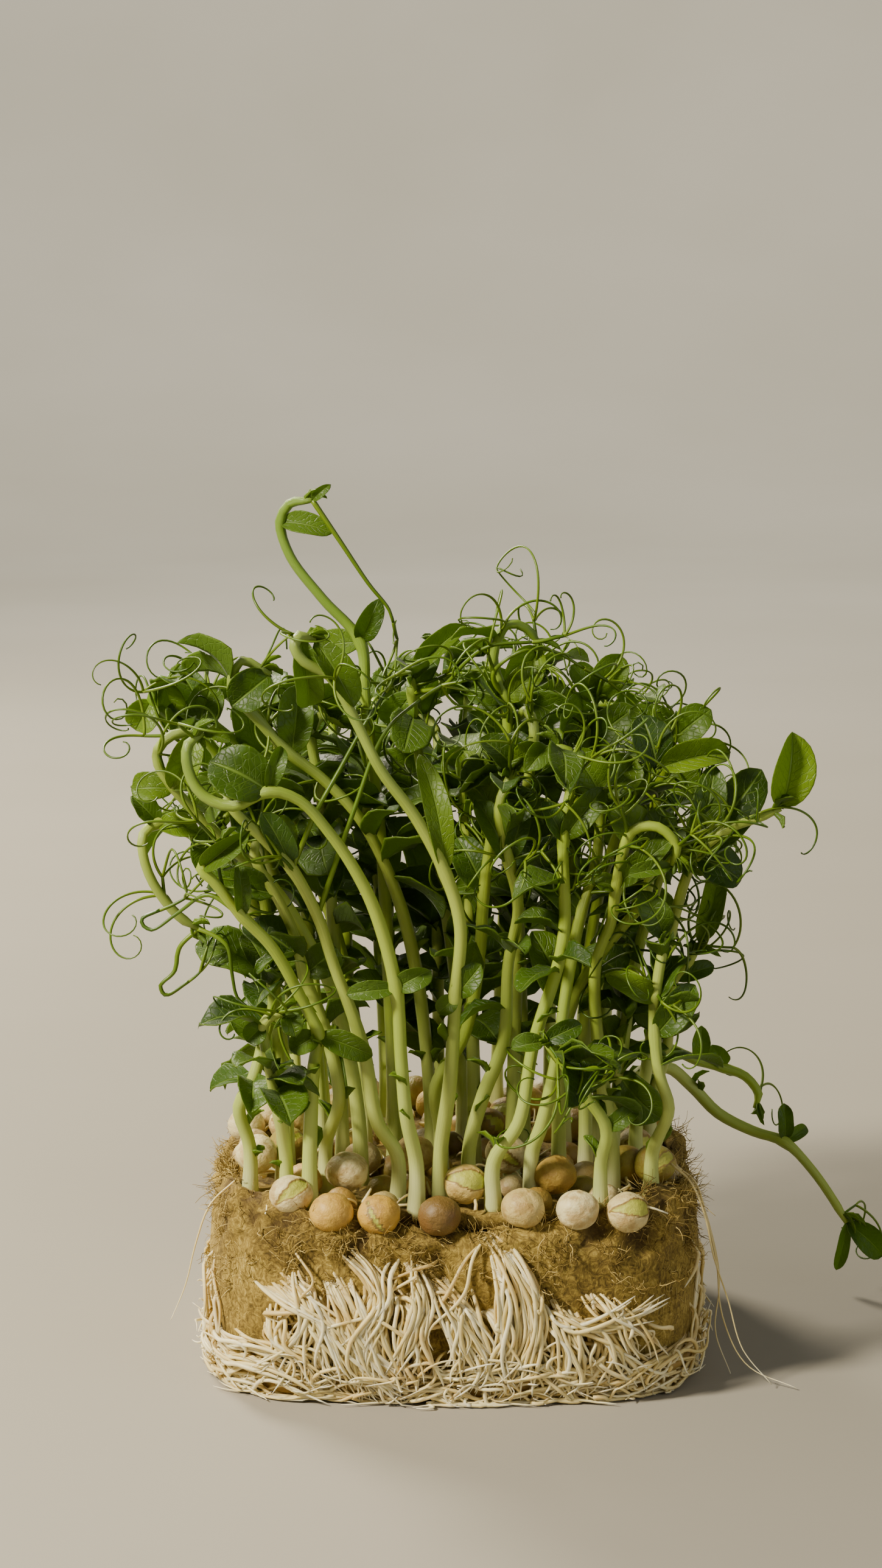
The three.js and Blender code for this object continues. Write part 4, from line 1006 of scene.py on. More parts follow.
# %% Bend the stems clear
CLEARANCE = 0.45
FIXED_POINTS = 2
PASSES = 80
LOOK_AROUND = 3.0
PARALLEL = 1e-9
SAME_PLACE = 0.01
PUSH_SHARE = 0.55


def line_radius(line, i):
    """Radius of a line at its point i, thinning evenly from start to tip."""
    return line["start"] + (line["tip"] - line["start"]) * (i / (len(line["points"]) - 1))


def nearest(a0, a1, b0, b1):
    """Shares along piece a and along pieces b at which they pass nearest to each other."""
    da, db, between = a1 - a0, b1 - b0, a0 - b0
    aa, bb = np.sum(da * da, -1), np.sum(db * db, -1)
    ab, ac, bc = np.sum(da * db, -1), np.sum(da * between, -1), np.sum(db * between, -1)
    spread = aa * bb - ab * ab
    safe = np.where(spread > PARALLEL, spread, 1.0)
    s = np.where(spread > PARALLEL, np.clip((ab * bc - ac * bb) / safe, 0, 1), 0.5)
    t = np.clip((ab * s + bc) / bb, 0, 1)
    s = np.clip((ab * t - ac) / aa, 0, 1)
    return s, t


def nudge(points, piece, share, push):
    """Moves the free ends of a piece so that its point at share moves by push."""
    weight = (1 - share) ** 2 + share**2
    first, fixed = piece
    if not fixed[0]:
        points[first] += push * ((1 - share) / weight)
    if not fixed[1]:
        points[first + 1] += push * (share / weight)


def bend_clear(shoots):
    """Moves the points of all lines until no two shoots touch, as far as that goes."""
    lines = [line for shoot in shoots for line in shoot["lines"]]
    starts = np.cumsum([0] + [len(line["points"]) for line in lines])
    points = np.concatenate([line["points"] for line in lines])
    pieces, owners, radii = [], [], []
    at = 0
    for owner, shoot in enumerate(shoots):
        for order, line in enumerate(shoot["lines"]):
            held = FIXED_POINTS if order == 0 else 1
            for i in range(len(line["points"]) - 1):
                pieces.append((starts[at] + i, (i < held, i + 1 < held)))
                owners.append(owner)
                radii.append(line_radius(line, i))
            at += 1
    first = np.array([piece[0] for piece in pieces])
    owners, radii = np.array(owners), np.array(radii)
    for turn in range(PASSES):
        touching = 0
        for a, piece in enumerate(pieces):
            others = np.arange(a + 1, len(pieces))
            others = others[owners[others] != owners[a]]
            if not len(others):
                continue
            touching += push_all(points, pieces, first, radii, a, others)
        at = 0
        for shoot in shoots:
            main = starts[at]
            for order, line in enumerate(shoot["lines"]):
                if order:
                    points[starts[at]] = points[main + line["from"]]
                at += 1
        if touching == 0:
            break
    for at, line in enumerate(lines):
        line["points"] = points[starts[at]:starts[at + 1]].copy()
    return turn + 1, touching


def push_all(points, pieces, first, radii, a, others):
    """Pushes piece a and those of the other pieces that touch it apart, one after another."""
    a0, a1 = points[first[a]], points[first[a] + 1]
    b0, b1 = points[first[others]], points[first[others] + 1]
    s, t = nearest(a0, a1, b0, b1)
    apart = (a0 + (a1 - a0) * s[:, None]) - (b0 + (b1 - b0) * t[:, None])
    need = radii[a] + radii[others] + CLEARANCE
    close = others[np.linalg.norm(apart, axis=1) < need + LOOK_AROUND]
    touching = 0
    for b in close:
        a0, a1 = points[first[a]], points[first[a] + 1]
        b0, b1 = points[first[b]], points[first[b] + 1]
        s, t = nearest(a0, a1, b0, b1)
        apart = (a0 + (a1 - a0) * s) - (b0 + (b1 - b0) * t)
        distance = math.sqrt(apart @ apart)
        need = radii[a] + radii[b] + CLEARANCE
        if distance < need:
            if distance < SAME_PLACE:
                apart = np.array((0.0, 1.0, 0.0))
            push = apart / math.sqrt(apart @ apart) * ((need - distance) * PUSH_SHARE)
            nudge(points, pieces[a], s, push)
            nudge(points, pieces[b], t, -push)
            touching += 1
    return touching


passes, still_touching = bend_clear(shoots)
print("bent clear in", passes, "passes, still touching:", still_touching)

# %% [markdown]
# ## Leaves that find room
# Each leaf is tried as drawn, then turned in depth and made smaller, until nothing is in its way.
# A leaf that finds no room is left out. What is in the way is kept as a long list of round spots
# along stems and over leaves. Again this is the rule that the solids follow.

# %% Place the leaves
BLADE_BEND = 0.1
SHIFTS = (0, -3, 3, -6, 6, -9, 9)
SHRINKS = (1, 0.85, 0.7)
FEEL = 1.3
FEEL_ROWS = 8
FEEL_HANDS = np.array((-1, -0.5, 0, 0.5, 1))
SPOT_SPACING = 1.5
BLOCK_MARGIN = 3
LOWEST_OVER_BLOCK, LOWEST_BESIDE = 51, 3
NEIGHBOURHOOD = 4


class Taken:
    """Round spots that are already full of plant."""

    def __init__(self):
        self.spots, self.radii, self.owners = np.zeros((0, 3)), np.zeros(0), np.zeros(0, int)

    def add(self, spots, radius, owner):
        self.spots = np.concatenate([self.spots, spots])
        self.radii = np.concatenate([self.radii, np.full(len(spots), radius)])
        self.owners = np.concatenate([self.owners, np.full(len(spots), owner)])

    def clear(self, spots, owner):
        """Whether the spots are free of the block, the floor and every other owner's plant."""
        across_block = np.abs(spots[:, 0]) < HALF_WIDTH + BLOCK_MARGIN
        over_block = across_block & (np.abs(spots[:, 1]) < HALF_DEPTH + BLOCK_MARGIN)
        if np.any(spots[:, 2] < np.where(over_block, LOWEST_OVER_BLOCK, LOWEST_BESIDE)):
            return False
        other = self.owners != owner
        low, high = spots.min(axis=0) - NEIGHBOURHOOD, spots.max(axis=0) + NEIGHBOURHOOD
        other &= np.all((self.spots > low) & (self.spots < high), axis=1)
        apart = np.linalg.norm(self.spots[other][:, None] - spots[None], axis=-1)
        return bool(np.all(apart > (self.radii[other] + FEEL + CLEARANCE)[:, None]))


def blade_frame(reach, face):
    """Directions along the blade, out of its upper face and across it, and its length."""
    along = unit(reach)
    front = unit(face - along * (face @ along))
    return along, front, np.cross(along, front), np.linalg.norm(reach)


def feelers(leaf_entry, base):
    """Spots spread over a blade, in rows from base to tip."""
    along, front, across, length = blade_frame(leaf_entry["reach"], leaf_entry["face"])
    share = np.arange(1, FEEL_ROWS + 1)[:, None] / FEEL_ROWS
    spread = np.sin(math.pi * np.minimum(0.9, share * 0.85 + 0.05))
    half = FEEL_HANDS[None] * spread * 0.45 * leaf_entry["width"]
    fold = math.radians(leaf_entry["cup"])
    raised = length * BLADE_BEND * np.sin(math.pi * share) + np.abs(half) * math.sin(fold)
    spots = base + along * (length * share)[..., None] + front * raised[..., None]
    spots = spots + across * (half * math.cos(fold))[..., None]
    return spots.reshape(-1, 3)


def first_clear(leaf_entry, base, owner, taken):
    """The leaf at the first turn and size that has room, or None."""
    length = np.linalg.norm(leaf_entry["reach"])
    for shrink in SHRINKS:
        for shift in SHIFTS:
            reach = unit(leaf_entry["reach"] + (0, shift, 0)) * (length * shrink)
            tried = {**leaf_entry, "reach": reach, "width": leaf_entry["width"] * shrink}
            spots = feelers(tried, base)
            if taken.clear(spots[len(FEEL_HANDS):], owner):
                taken.add(spots, FEEL, owner)
                return tried
    return None


def take_stems(shoots, taken):
    for owner, shoot in enumerate(shoots):
        for line in shoot["lines"]:
            for i in range(len(line["points"]) - 1):
                start, end = line["points"][i], line["points"][i + 1]
                steps = math.ceil(np.linalg.norm(end - start) / SPOT_SPACING)
                share = (np.arange(steps) / steps)[:, None]
                taken.add(start + (end - start) * share, line_radius(line, i), owner)


taken = Taken()
take_stems(shoots, taken)
for owner, shoot in enumerate(shoots):
    shoot["blades"] = []
    for entry in shoot["leaves"]:
        base = shoot["lines"][0]["points"][entry["from"]]
        placed = first_clear(entry, base, owner, taken)
        if placed:
            shoot["blades"].append((placed, base))
print("leaves placed:", sum(len(shoot["blades"]) for shoot in shoots))

# %% [markdown]
# ## Growing mat
# The felt block was pressed in its tray, so its skin is even below and torn and tufted along its
# top edge. Its skin is a fine grid over the block's outline, raised and sunk by soft ripples, and
# rougher towards the edge. A displacement modifier could do the same, but formulas keep the foot
# and the pocket exactly where the roots and the peas need them.

# %% Felt skin
FELT_TURNS = 240
FELT_STEPS = (3, 10, 12, 13, 5, 5, 6)
RIM_SLOPE = (2.0, 1.6, 4.0, 4.6)
TORN_FROM, TORN_OVER = 25, 9


def felt_profile(angle):
    """Corner points of the felt's outline from foot to pocket floor, as heights and offsets."""
    rim = rim_height(angle)
    flat = np.zeros_like(angle)
    drop, shoulder, inner, pocket = RIM_SLOPE
    heights = [flat + FELT_BOTTOM, flat + FELT_BOTTOM + 1.8, flat + 14, flat + 26, rim - drop, rim, rim - 0.5]
    offsets = [flat - 1.2, flat, flat, flat, flat, flat - shoulder, flat - inner]
    return heights + [flat + POCKET_FLOOR], offsets + [flat - pocket]


def felt_skin():
    """The felt's rings from its foot to its pocket, and how hollow each point is."""
    angle = all_round(FELT_TURNS)
    heights, offsets = felt_profile(angle)
    rows = []
    for k, steps in enumerate(FELT_STEPS):
        for step in range(steps):
            share = step / steps
            height = heights[k] + (heights[k + 1] - heights[k]) * share
            rows.append((height, offsets[k] + (offsets[k + 1] - offsets[k]) * share))
    rows.append((heights[-1], offsets[-1]))
    skin = np.stack([side(angle, height, out) for height, out in rows])
    outward = away(skin)
    torn = np.clip((skin[..., 2] - TORN_FROM) / TORN_OVER, 0, 1)
    rough = (0.25 + 2.0 * torn) * ripple(skin, 8.0, 11) + 0.4 * ripple(skin, 15, 12)
    # how far the torn skin sinks in, which the felt finish darkens as painted shade
    hollow = np.clip(-rough * torn, 0, 1)
    skin += outward * (0.8 * rough - 0.6 * torn)[..., None]
    skin[..., 2] += torn * 1.3 * ripple(skin, 5.0, 13)
    return skin, hollow


def add_grid(heap, rows, tone, finish=0, ends=None):
    """A closed body from rings of points, with one point that closes each end."""
    count, turns, _ = rows.shape
    first, last = (rows[0].mean(axis=0), rows[-1].mean(axis=0)) if ends is None else ends
    points = np.concatenate([[first], rows.reshape(-1, 3), [last]])
    quads, caps = ring_faces(count, turns)
    heap.add(points, quads, caps, (0.5, 0.5), tone, finish)


mat_heap = Heap()
felt_rows, hollow_rows = felt_skin()
hollow = np.concatenate([[0.0], hollow_rows.ravel(), [0.0]])
add_grid(mat_heap, felt_rows, np.stack([0 * hollow, hollow, 0 * hollow], -1))
print("felt skin triangles:", mat_heap.triangle_count())

# %% [markdown]
# ## Loose fibres
# What makes felt look like felt is the fluff that catches the light at its edges. Hair particles
# would not survive an export, so each fibre is a real thread, very thin and closed, that starts
# in the skin and bends. They stand in tufts, most of them along the torn top edge.

# %% Loose felt fibres
FRONT_EDGE = -30.0
TUFT_SIZE = 11
RIM_ROWS, WALL_ROWS, WAD_ROWS = slice(32, 50), slice(6, 32), slice(20, 40)


def fibres(rows, number, lengths, seed, rise, outward=0.8, front=1.0, steps=4, curl=0.0):
    """Short bent threads in tufts; front is how much likelier a tuft is on the front side."""
    draw = np.random.default_rng(seed)
    flat = rows.reshape(-1, 3)
    chance = np.where(flat[:, 1] < FRONT_EDGE, front, 1.0)
    tufts = flat[draw.choice(len(flat), number // TUFT_SIZE, p=chance / chance.sum())]
    tuft_way = unit(away(tufts) * outward + (0, 0, rise) + draw.normal(0, 0.6, tufts.shape))
    which = draw.integers(0, len(tufts), number)
    start = tufts[which] + draw.normal(0, 0.9, (number, 3))
    way = unit(tuft_way[which] + draw.normal(0, 0.55, (number, 3)))
    bend = unit(np.cross(way, draw.normal(size=(number, 3))))
    length = draw.uniform(*lengths, (number, 1))[..., None]
    share = np.linspace(0, 1, steps)[None, :, None]
    start = (start - away(start) * 0.6)[:, None]
    ringlet = np.cross(way, bend)[:, None] * np.sin(share * 5.5) * curl
    return start + (way[:, None] * share + bend[:, None] * share**2 * 0.6 + ringlet) * length


draw = np.random.default_rng(21)
rim_paths = fibres(felt_rows[RIM_ROWS], 2800, (1.4, 4.0), 22, 0.2)
wall_paths = fibres(felt_rows[WALL_ROWS], 300, (0.9, 2.2), 23, 0.0)
wad_paths = fibres(
    felt_rows[WAD_ROWS], 1250, (2.6, 5.2), 24, -0.2, outward=0.25, front=14.0, steps=5, curl=0.22,
)
for paths, thickness in ((rim_paths, 0.09), (wall_paths, 0.07), (wad_paths, 0.10)):
    taper = np.linspace(1.1, 0.5, paths.shape[1])
    radii = thickness * draw.uniform(0.7, 1.3, (len(paths), 1)) * taper
    threads(mat_heap, paths, radii, draw.uniform(0, 1, len(paths)), 1.0, sides=3)
cast("felt_mat_fibrous", mat_heap, [felt], ["growing_mat"])
print("felt with fibres triangles:", mat_heap.triangle_count())

# %% [markdown]
# ## Root mat
# Roots leave the felt below the peas, hang down its front in bundles and run round the foot in a thick weave
# that took the shape of the tray. Each family of roots has its own small rule: where it starts and ends on
# the block's skin, how far it stands off and how it waves. The front bundles are listed after the photograph,
# each by the points it passes from its top to its foot, because it is their arcs and crossings that make the
# tangle.

# %% Bundles of roots on the front
ROOT_STEPS = 20
ROOT_SIDES = 5
ROOT_THICKNESS = (0.29, 0.54)
GUIDE_STEPS = 60
CORNER_LIMIT = 0.985
ANY_PHASE = 6.3
# x and height of the points that a bundle passes, how far it spreads, number of roots
FRONT_BUNDLES = [
    ([(-42, 25), (-35, 23), (-26, 18), (-19, 10), (-10, 1)], 2.4, 24),
    ([(-37, 27), (-32, 23), (-27, 15), (-23, 4)], 3.0, 28),
    ([(-37, 22), (-37, 14), (-31, 10), (-28, 3)], 2.2, 24),
    ([(-31, 28), (-29, 20), (-31, 12), (-34, 4)], 3.2, 20),
    ([(-26, 28), (-22, 20), (-18, 10), (-14, 2)], 3.2, 36),
    ([(-22, 32), (-17, 28), (-15, 22), (-19, 14), (-19, 8), (-10, 1)], 2.2, 38),
    ([(-15, 26), (-18, 18), (-16, 8), (-12, 2)], 3.2, 30),
    ([(-11, 32), (-15, 29), (-16, 22), (-20, 14), (-20, 5)], 1.2, 9),
    ([(-10, 31), (-7, 24), (-9, 16), (-14, 6)], 2.2, 22),
    ([(-14, 22), (-9, 23), (-8, 14), (-7, 4)], 2.4, 28),
    ([(-5, 27), (-1, 22), (3, 16), (4, 8)], 2.6, 24),
    ([(-6, 18), (-2, 20), (1, 15), (2, 5)], 2.2, 20),
    ([(1, 26), (3, 18), (6, 9), (7, 2)], 2.8, 22),
    ([(8, 35), (12, 30), (15, 24), (16, 16), (14, 9), (11, 2)], 1.6, 40),
    ([(8, 33), (10, 25), (11, 15), (10, 4)], 2.4, 26),
    ([(5, 19), (8, 20), (10, 14), (8, 4)], 1.8, 10),
    ([(18, 23), (21, 18), (23.5, 12), (24, 6), (21, 2)], 2.8, 28),
    ([(17, 18), (20, 20), (26, 17), (33, 18), (41, 21.5)], 2.2, 16),
    ([(24, 16), (29, 17), (33, 13), (37, 7), (40, 4)], 2.2, 22),
    ([(28, 24), (33, 19), (38, 14), (40, 9)], 2.4, 14),
    ([(27, 14), (31, 13), (30, 8), (27, 3)], 2.6, 18),
    ([(17, 15), (17, 9), (20, 5), (24, 2)], 2.8, 20),
    ([(-50, 9), (-44, 12), (-38, 11), (-31, 8)], 2.6, 13),
    ([(-49, 5), (-43, 8), (-36, 7), (-27, 3)], 2.6, 13),
    ([(49, 9), (44, 9), (38, 6), (30, 2)], 2.6, 12),
    ([(-2.6, 32), (-10, 27), (-14, 25)], 0.6, 2),
    ([(7, 35), (1.7, 28.5), (-4, 22), (-8, 17), (-8, 9)], 0.9, 3),
    ([(-32, 33), (-30, 25), (-27, 18)], 0.8, 2),
]


def front_skin(x, height, out):
    """A point of the block's front at that x and height, out millimetres off the skin."""
    width = HALF_WIDTH + out
    bound = np.clip(np.abs(x / width), 0, CORNER_LIMIT)
    y = -(HALF_DEPTH + out) * (1 - bound**PLAN_POWER) ** (1 / PLAN_POWER)
    forward = y * block_swell(height) - lump(np.arctan2(y, x), height)
    return np.stack([np.clip(x, -CORNER_LIMIT * width, CORNER_LIMIT * width), forward, height], -1)


def one_for_each(number, draw):
    """Gives a short call that draws one value for each root."""
    def many(low, high):
        return draw.uniform(low, high, (number, 1))

    return many


def hanging_roots(bundle, draw):
    """Roots that leave the felt near the top of their bundle, keep their place in it and part."""
    points, spread, number = bundle
    guide = resample(smooth_route([(x, 0, height) for x, height in points], 1.0), GUIDE_STEPS)
    many = one_for_each(number, draw)
    run = np.linspace(0, 1, ROOT_STEPS)[None]
    begin = many(0.0, 1.0) ** 2 * 0.32
    share = begin + (many(0.82, 1.0) - begin) * run
    knots = np.linspace(0, 1, len(guide))
    x, height = np.interp(share, knots, guide[:, 0]), np.interp(share, knots, guide[:, 2])
    wider = 0.75 + 0.6 * run
    x += spread * draw.normal(0, 0.6, (number, 1)) * wider
    height += 0.4 * spread * draw.normal(0, 0.5, (number, 1)) * wider
    x += draw.normal(0, 1.5, (number, 1)) * run**2 + draw.normal(0, 2.2, (number, 1)) * run**5
    height += draw.normal(0, 1.0, (number, 1)) * run**3
    x += many(0.3, 1.7) * np.sin(run * many(3.0, 8.5) + many(0, ANY_PHASE))
    height += many(0.2, 1.0) * np.sin(run * many(3, 8) + many(0, ANY_PHASE))
    layer = many(0.0, 1.0)
    lift = np.minimum(1, run * 4)
    out = (0.4 + 2.6 * layer) * lift - 1.3 * (1 - lift) + 0.9 * np.sin(math.pi * run)
    out += many(-0.5, 1.8) * run**4
    out += 0.4 * np.sin(run * many(3, 8) + many(0, ANY_PHASE))
    return front_skin(x, np.maximum(height, 0.7), out), layer[:, 0]


def root_radii(number, steps, draw, thick=ROOT_THICKNESS):
    """Radii along each root, thin where it starts, thinner still at its tip, and uneven."""
    share = np.linspace(0, 1, steps)[None]
    body = draw.uniform(*thick, (number, 1))
    taper = np.clip((1 - share) / 0.35, 0, 1) ** 0.7 * np.clip(0.45 + share / 0.2, 0, 1)
    return body * (0.16 + 0.84 * taper) * (1 + 0.06 * np.sin(share * 31 + body * 90))


STRAY_ROOTS = 50
STRAY_LEFT, STRAY_RIGHT, STRAY_FOOT = -37, 41, 2.0


def stray_root(draw):
    """One root on its own that wanders across the others, as a bundle of one."""
    x, height = draw.uniform(-33, 38), draw.uniform(8, 24)
    sideways, fall = draw.normal(0, 11), draw.uniform(1, 12)
    middle = (x + 0.5 * sideways + draw.normal(0, 2), height - 0.5 * fall + draw.normal(0, 2.5))
    end_x = min(max(x + sideways, STRAY_LEFT), STRAY_RIGHT)
    return [(x, height), middle, (end_x, max(height - fall, STRAY_FOOT))], 1.0, 1


draw = np.random.default_rng(41)
front_heap = Heap()
for bundle in FRONT_BUNDLES + [stray_root(draw) for _ in range(STRAY_ROOTS)]:
    paths, layer = hanging_roots(bundle, draw)
    shade = draw.uniform(0, 1, len(paths))
    radii = root_radii(*paths.shape[:2], draw)
    # roots that lie close to the felt, under the others, get more painted shade
    threads(front_heap, paths, radii, shade, 0.62 * (1 - layer) ** 1.5, sides=ROOT_SIDES)
cast("roots_hanging_front", front_heap, [root])
print("front roots triangles:", front_heap.triangle_count())

# %% [markdown]
# ## Roots on the sides and the back
# The other faces were pressed to the tray, so their roots are fewer and lie close to the felt.
# One rule with seeded draws makes them all, with no bundles.

# %% Roots on the sides and the back
SIDE_ROOTS = 240
# angles at which they start, from the right front corner round the back to the left one
SIDES_FROM, SIDES_TO = -0.56, 3.70


def side_roots(number, draw):
    """Thinner growth on the faces that were pressed to the tray."""
    share = np.linspace(0, 1, ROOT_STEPS)[None]
    many = one_for_each(number, draw)
    angle = many(SIDES_FROM, SIDES_TO)
    start_z = 6 + 24 * many(0, 1) ** 1.4
    end_z = np.maximum(start_z - many(6, 22), 1.0)
    drift = draw.normal(0, 0.11, (number, 1))
    wave = 0.03 * np.sin(share * many(4, 10) + many(0, ANY_PHASE))
    z = start_z + (end_z - start_z) * share + 0.6 * np.sin(share * many(3, 8) + many(0, ANY_PHASE))
    lift = np.minimum(1, share * 4)
    out = many(0.3, 2.0) * lift - 1.0 * (1 - lift) + many(-0.2, 1.6) * share**4
    return side(angle + drift * share**0.7 + wave * share, np.maximum(z, 0.8), out)


side_heap = Heap()
paths = side_roots(SIDE_ROOTS, draw)
depth = draw.uniform(0.0, 0.5, SIDE_ROOTS)
shade = draw.uniform(0, 1, SIDE_ROOTS)
threads(side_heap, paths, root_radii(*paths.shape[:2], draw), shade, depth, sides=ROOT_SIDES)
cast("roots_on_sides", side_heap, [root])
print("side roots triangles:", side_heap.triangle_count())

# %% [markdown]
# ## The weave at the foot
# Where the roots met the floor of the tray they turned and ran along it, over and under each
# other, so the foot of the block is one springy tangle. A solid dish of the felt's colour lies
# under it and closes the gaps. Its underside is flat, because the tray was.

# %% Woven roots round the foot
WEAVE_STEPS = 18
WEAVE_ROOTS = 520
WEAVE_THICKNESS = (0.27, 0.48)
UNDER_ROOTS = 210
UNDER_REACH = 0.8
DISH_TURNS = 200


def dish_rows():
    """Rings of the shallow dish, from its flat underside over its wavy edge to its inside."""
    angle = all_round(DISH_TURNS)
    edge = 6.6 + 1.3 * np.sin(5 * angle + 1) + 0.9 * np.sin(11 * angle + 2)
    flat = np.zeros_like(angle)
    rings = [
        (flat + 0.7, 0.2), (flat + 0.8, 1.2), (flat + 1.6, 1.6), (0.5 * edge, 1.7),
        (edge - 1, 1.6), (edge, 1.0), (edge - 0.4, 0.45), (flat + ROOT_FLOOR, 0.45),
    ]
    rows = np.stack([side(angle, height, out) for height, out in rings])
    wall = rows[2:5]
    rows[2:5] = wall + away(wall) * (0.45 * ripple(wall, 3.0, 51))[..., None]
    return rows


def weave_roots(number, draw):
    """Roots that wander along the foot, with tips that point outwards and down."""
    share = np.linspace(0, 1, WEAVE_STEPS)[None]
    many = one_for_each(number, draw)
    angle = many(-math.pi, math.pi)
    run = many(8, 23) / HALF_WIDTH * np.sign(draw.normal(size=(number, 1)))
    height = 1.0 + 8.0 * many(0, 1) ** 1.6
    fall = draw.normal(-0.6, 2.6, (number, 1))
    wave = many(0.6, 2.5) * np.sin(share * many(4, 12) + many(0, ANY_PHASE))
    curl = many(0.01, 0.055) * np.sin(share * many(5, 12) + many(0, ANY_PHASE))
    z = np.maximum(height + fall * share + wave, 0.65)
    layer = many(0.0, 1.0)
    wander = 0.8 * np.sin(share * many(5, 12) + many(0, ANY_PHASE))
    out = 1.0 + 2.4 * layer + wander + many(-0.5, 3.4) * share**4
    return side(angle + run * share + curl, z, out), layer[:, 0]


def under_roots(number, draw):
    """Roots that run flat across the underside, where the floor of the tray was."""
    share = np.linspace(0, 1, WEAVE_STEPS)[None]
    many = one_for_each(number, draw)
    turn = many(0, 2 * math.pi) + share * draw.normal(0, 1.8, (number, 1)) + 0.5 * np.sin(share * many(4, 12))
    stride = many(1.2, 2.6)
    x = many(-46, 46) + np.cumsum(np.cos(turn) * stride, axis=1)
    y = many(-44, 44) + np.cumsum(np.sin(turn) * stride, axis=1)
    reach = (np.abs(x) / HALF_WIDTH) ** PLAN_POWER + (np.abs(y) / HALF_DEPTH) ** PLAN_POWER
    keep = np.all(reach < UNDER_REACH, axis=1)
    z = many(0.62, 0.8) + 0.08 * np.sin(share * many(3, 9))
    return np.stack([x, y, z], -1)[keep]


weave_heap = Heap()
add_grid(weave_heap, dish_rows(), (0.2, 0.2, 0.95))
under = under_roots(UNDER_ROOTS, draw)
print("roots across the underside:", len(under))
shade = draw.uniform(0, 1, len(under))
threads(weave_heap, under, root_radii(*under.shape[:2], draw), shade, 0.15, sides=ROOT_SIDES)
paths, layer = weave_roots(WEAVE_ROOTS, draw)
shade = draw.uniform(0, 1, WEAVE_ROOTS)
radii = root_radii(*paths.shape[:2], draw, WEAVE_THICKNESS)
# roots that lie close to the felt, under the others, get more painted shade
threads(weave_heap, paths, radii, shade, 0.6 * (1 - layer), sides=ROOT_SIDES)

# a few thin rootlets hang from the peas past the sides down to the floor
HANGING_ROOTLETS = [
    [(45, -31, 46), (49, -34, 43), (52, -35, 36), (54, -35, 27), (57, -36, 18), (60, -38, 8), (66, -40, 1)],
    [(44, -26, 45), (50, -29, 42), (53, -30, 33), (55, -31, 24), (56, -33, 14), (61, -36, 4), (71, -41, 0.6)],
    [(45, -20, 44), (50, -22, 40), (54, -24, 30), (56, -26, 19), (55, -29, 9), (58, -33, 1)],
    [(-46, -30, 42), (-51, -34, 38), (-54, -36, 30), (-56, -38, 22), (-59, -40, 15)],
]
ROOTLET_STEPS = 40
rootlets = np.stack([resample(smooth_route(line, 2.0), ROOTLET_STEPS) for line in HANGING_ROOTLETS])
radii = np.linspace(0.26, 0.10, ROOTLET_STEPS)[None]
threads(weave_heap, rootlets, radii, 0.5, 0.35, sides=ROOT_SIDES)
cast("roots_woven_at_foot", weave_heap, [root], ["root_mat"])
print("woven roots triangles:", weave_heap.triangle_count())

# %% [markdown]
# ## Peas
# Each pea is a slightly squeezed ball with shallow wrinkles. In about a third of them the coat has split and
# drawn back, so in a wedge the surface lies lower and shows the green seed. The peas at the front are listed
# one by one and modelled finely, those behind are strewn by the seeded rule, and smaller ones that sank
# deeper fill the gaps, with thin white rootlets between them.

# %% Where the peas lie
PEA_RADIUS = 4.5
PEA_SPACING = 10.6
PEA_TO_PEA = 8.6
PEA_TO_STEM = 6.1
PEA_HEIGHT = 42.1
PEA_EDGE = 4.4
PEA_SHIFT = 2
BED_TOP = SEED_TOP - 3.2
SUNK_RADIUS = 3.7
SUNK_TRIES = 2500
FRONT_PEA_RADIUS = 4.85
FRONT_PEAS = [
    (-33.8, -42, 42.4), (-25.3, -46.3, 39.9), (-15.6, -46.5, 39.5), (-3.2, -46.5, 39.3),
    (13.9, -46.3, 40.9), (25, -46.3, 40.5), (35.4, -45.5, 39.8), (2.1, -38.5, 43.8),
    (20.8, -34, 44.5), (-22.5, -33, 45), (10.9, -20, 45), (-8.5, -21.5, 45.2),
    (-42, -19, 44.8), (36, -22.5, 43.5), (42.1, -26, 44.6),
]
# for the same peas: shade of the coat, width of the split in it, how dark it is
FRONT_COATS = [
    (0.05, 0.34, 0.0), (0.42, 0.0, 0.05), (0.45, 0.14, 0.1), (0.85, 0.0, 0.75),
    (0.24, 0.0, 0.2), (0.02, 0.0, 0.0), (0.12, 0.45, 0.1), (0.30, 0.55, 0.0),
    (0.58, 0.0, 0.3), (0.04, 0.0, 0.0), (0.06, 0.2, 0.0), (0.28, 0.0, 0.15),
    (0.08, 0.0, 0.0), (0.72, 0.0, 0.1), (0.76, 0.3, 0.1),
]


def pea_places(feet):
    """The front peas, and others strewn in staggered rows where nothing is in their way."""
    roll = dice(29)
    places = [tuple(place) for place in FRONT_PEAS]
    row_step = PEA_SPACING * math.sqrt(3) / 2
    rows = math.ceil(2 * HALF_DEPTH / row_step)
    columns = math.ceil(2 * HALF_WIDTH / PEA_SPACING)
    for row in range(rows + 1):
        for column in range(columns + 1):
            x = -HALF_WIDTH + (column + 0.5 * (row % 2)) * PEA_SPACING + PEA_SHIFT * (roll() - 0.5)
            y = -HALF_DEPTH + row * row_step + PEA_SHIFT * (roll() - 0.5)
            z = PEA_HEIGHT + 0.6 * roll()
            free = keeps_off(x, y, places, PEA_TO_PEA) and keeps_off(x, y, feet, PEA_TO_STEM)
            if within_block(x, y, PEA_EDGE) and free:
                places.append((x, y, z))
    return places


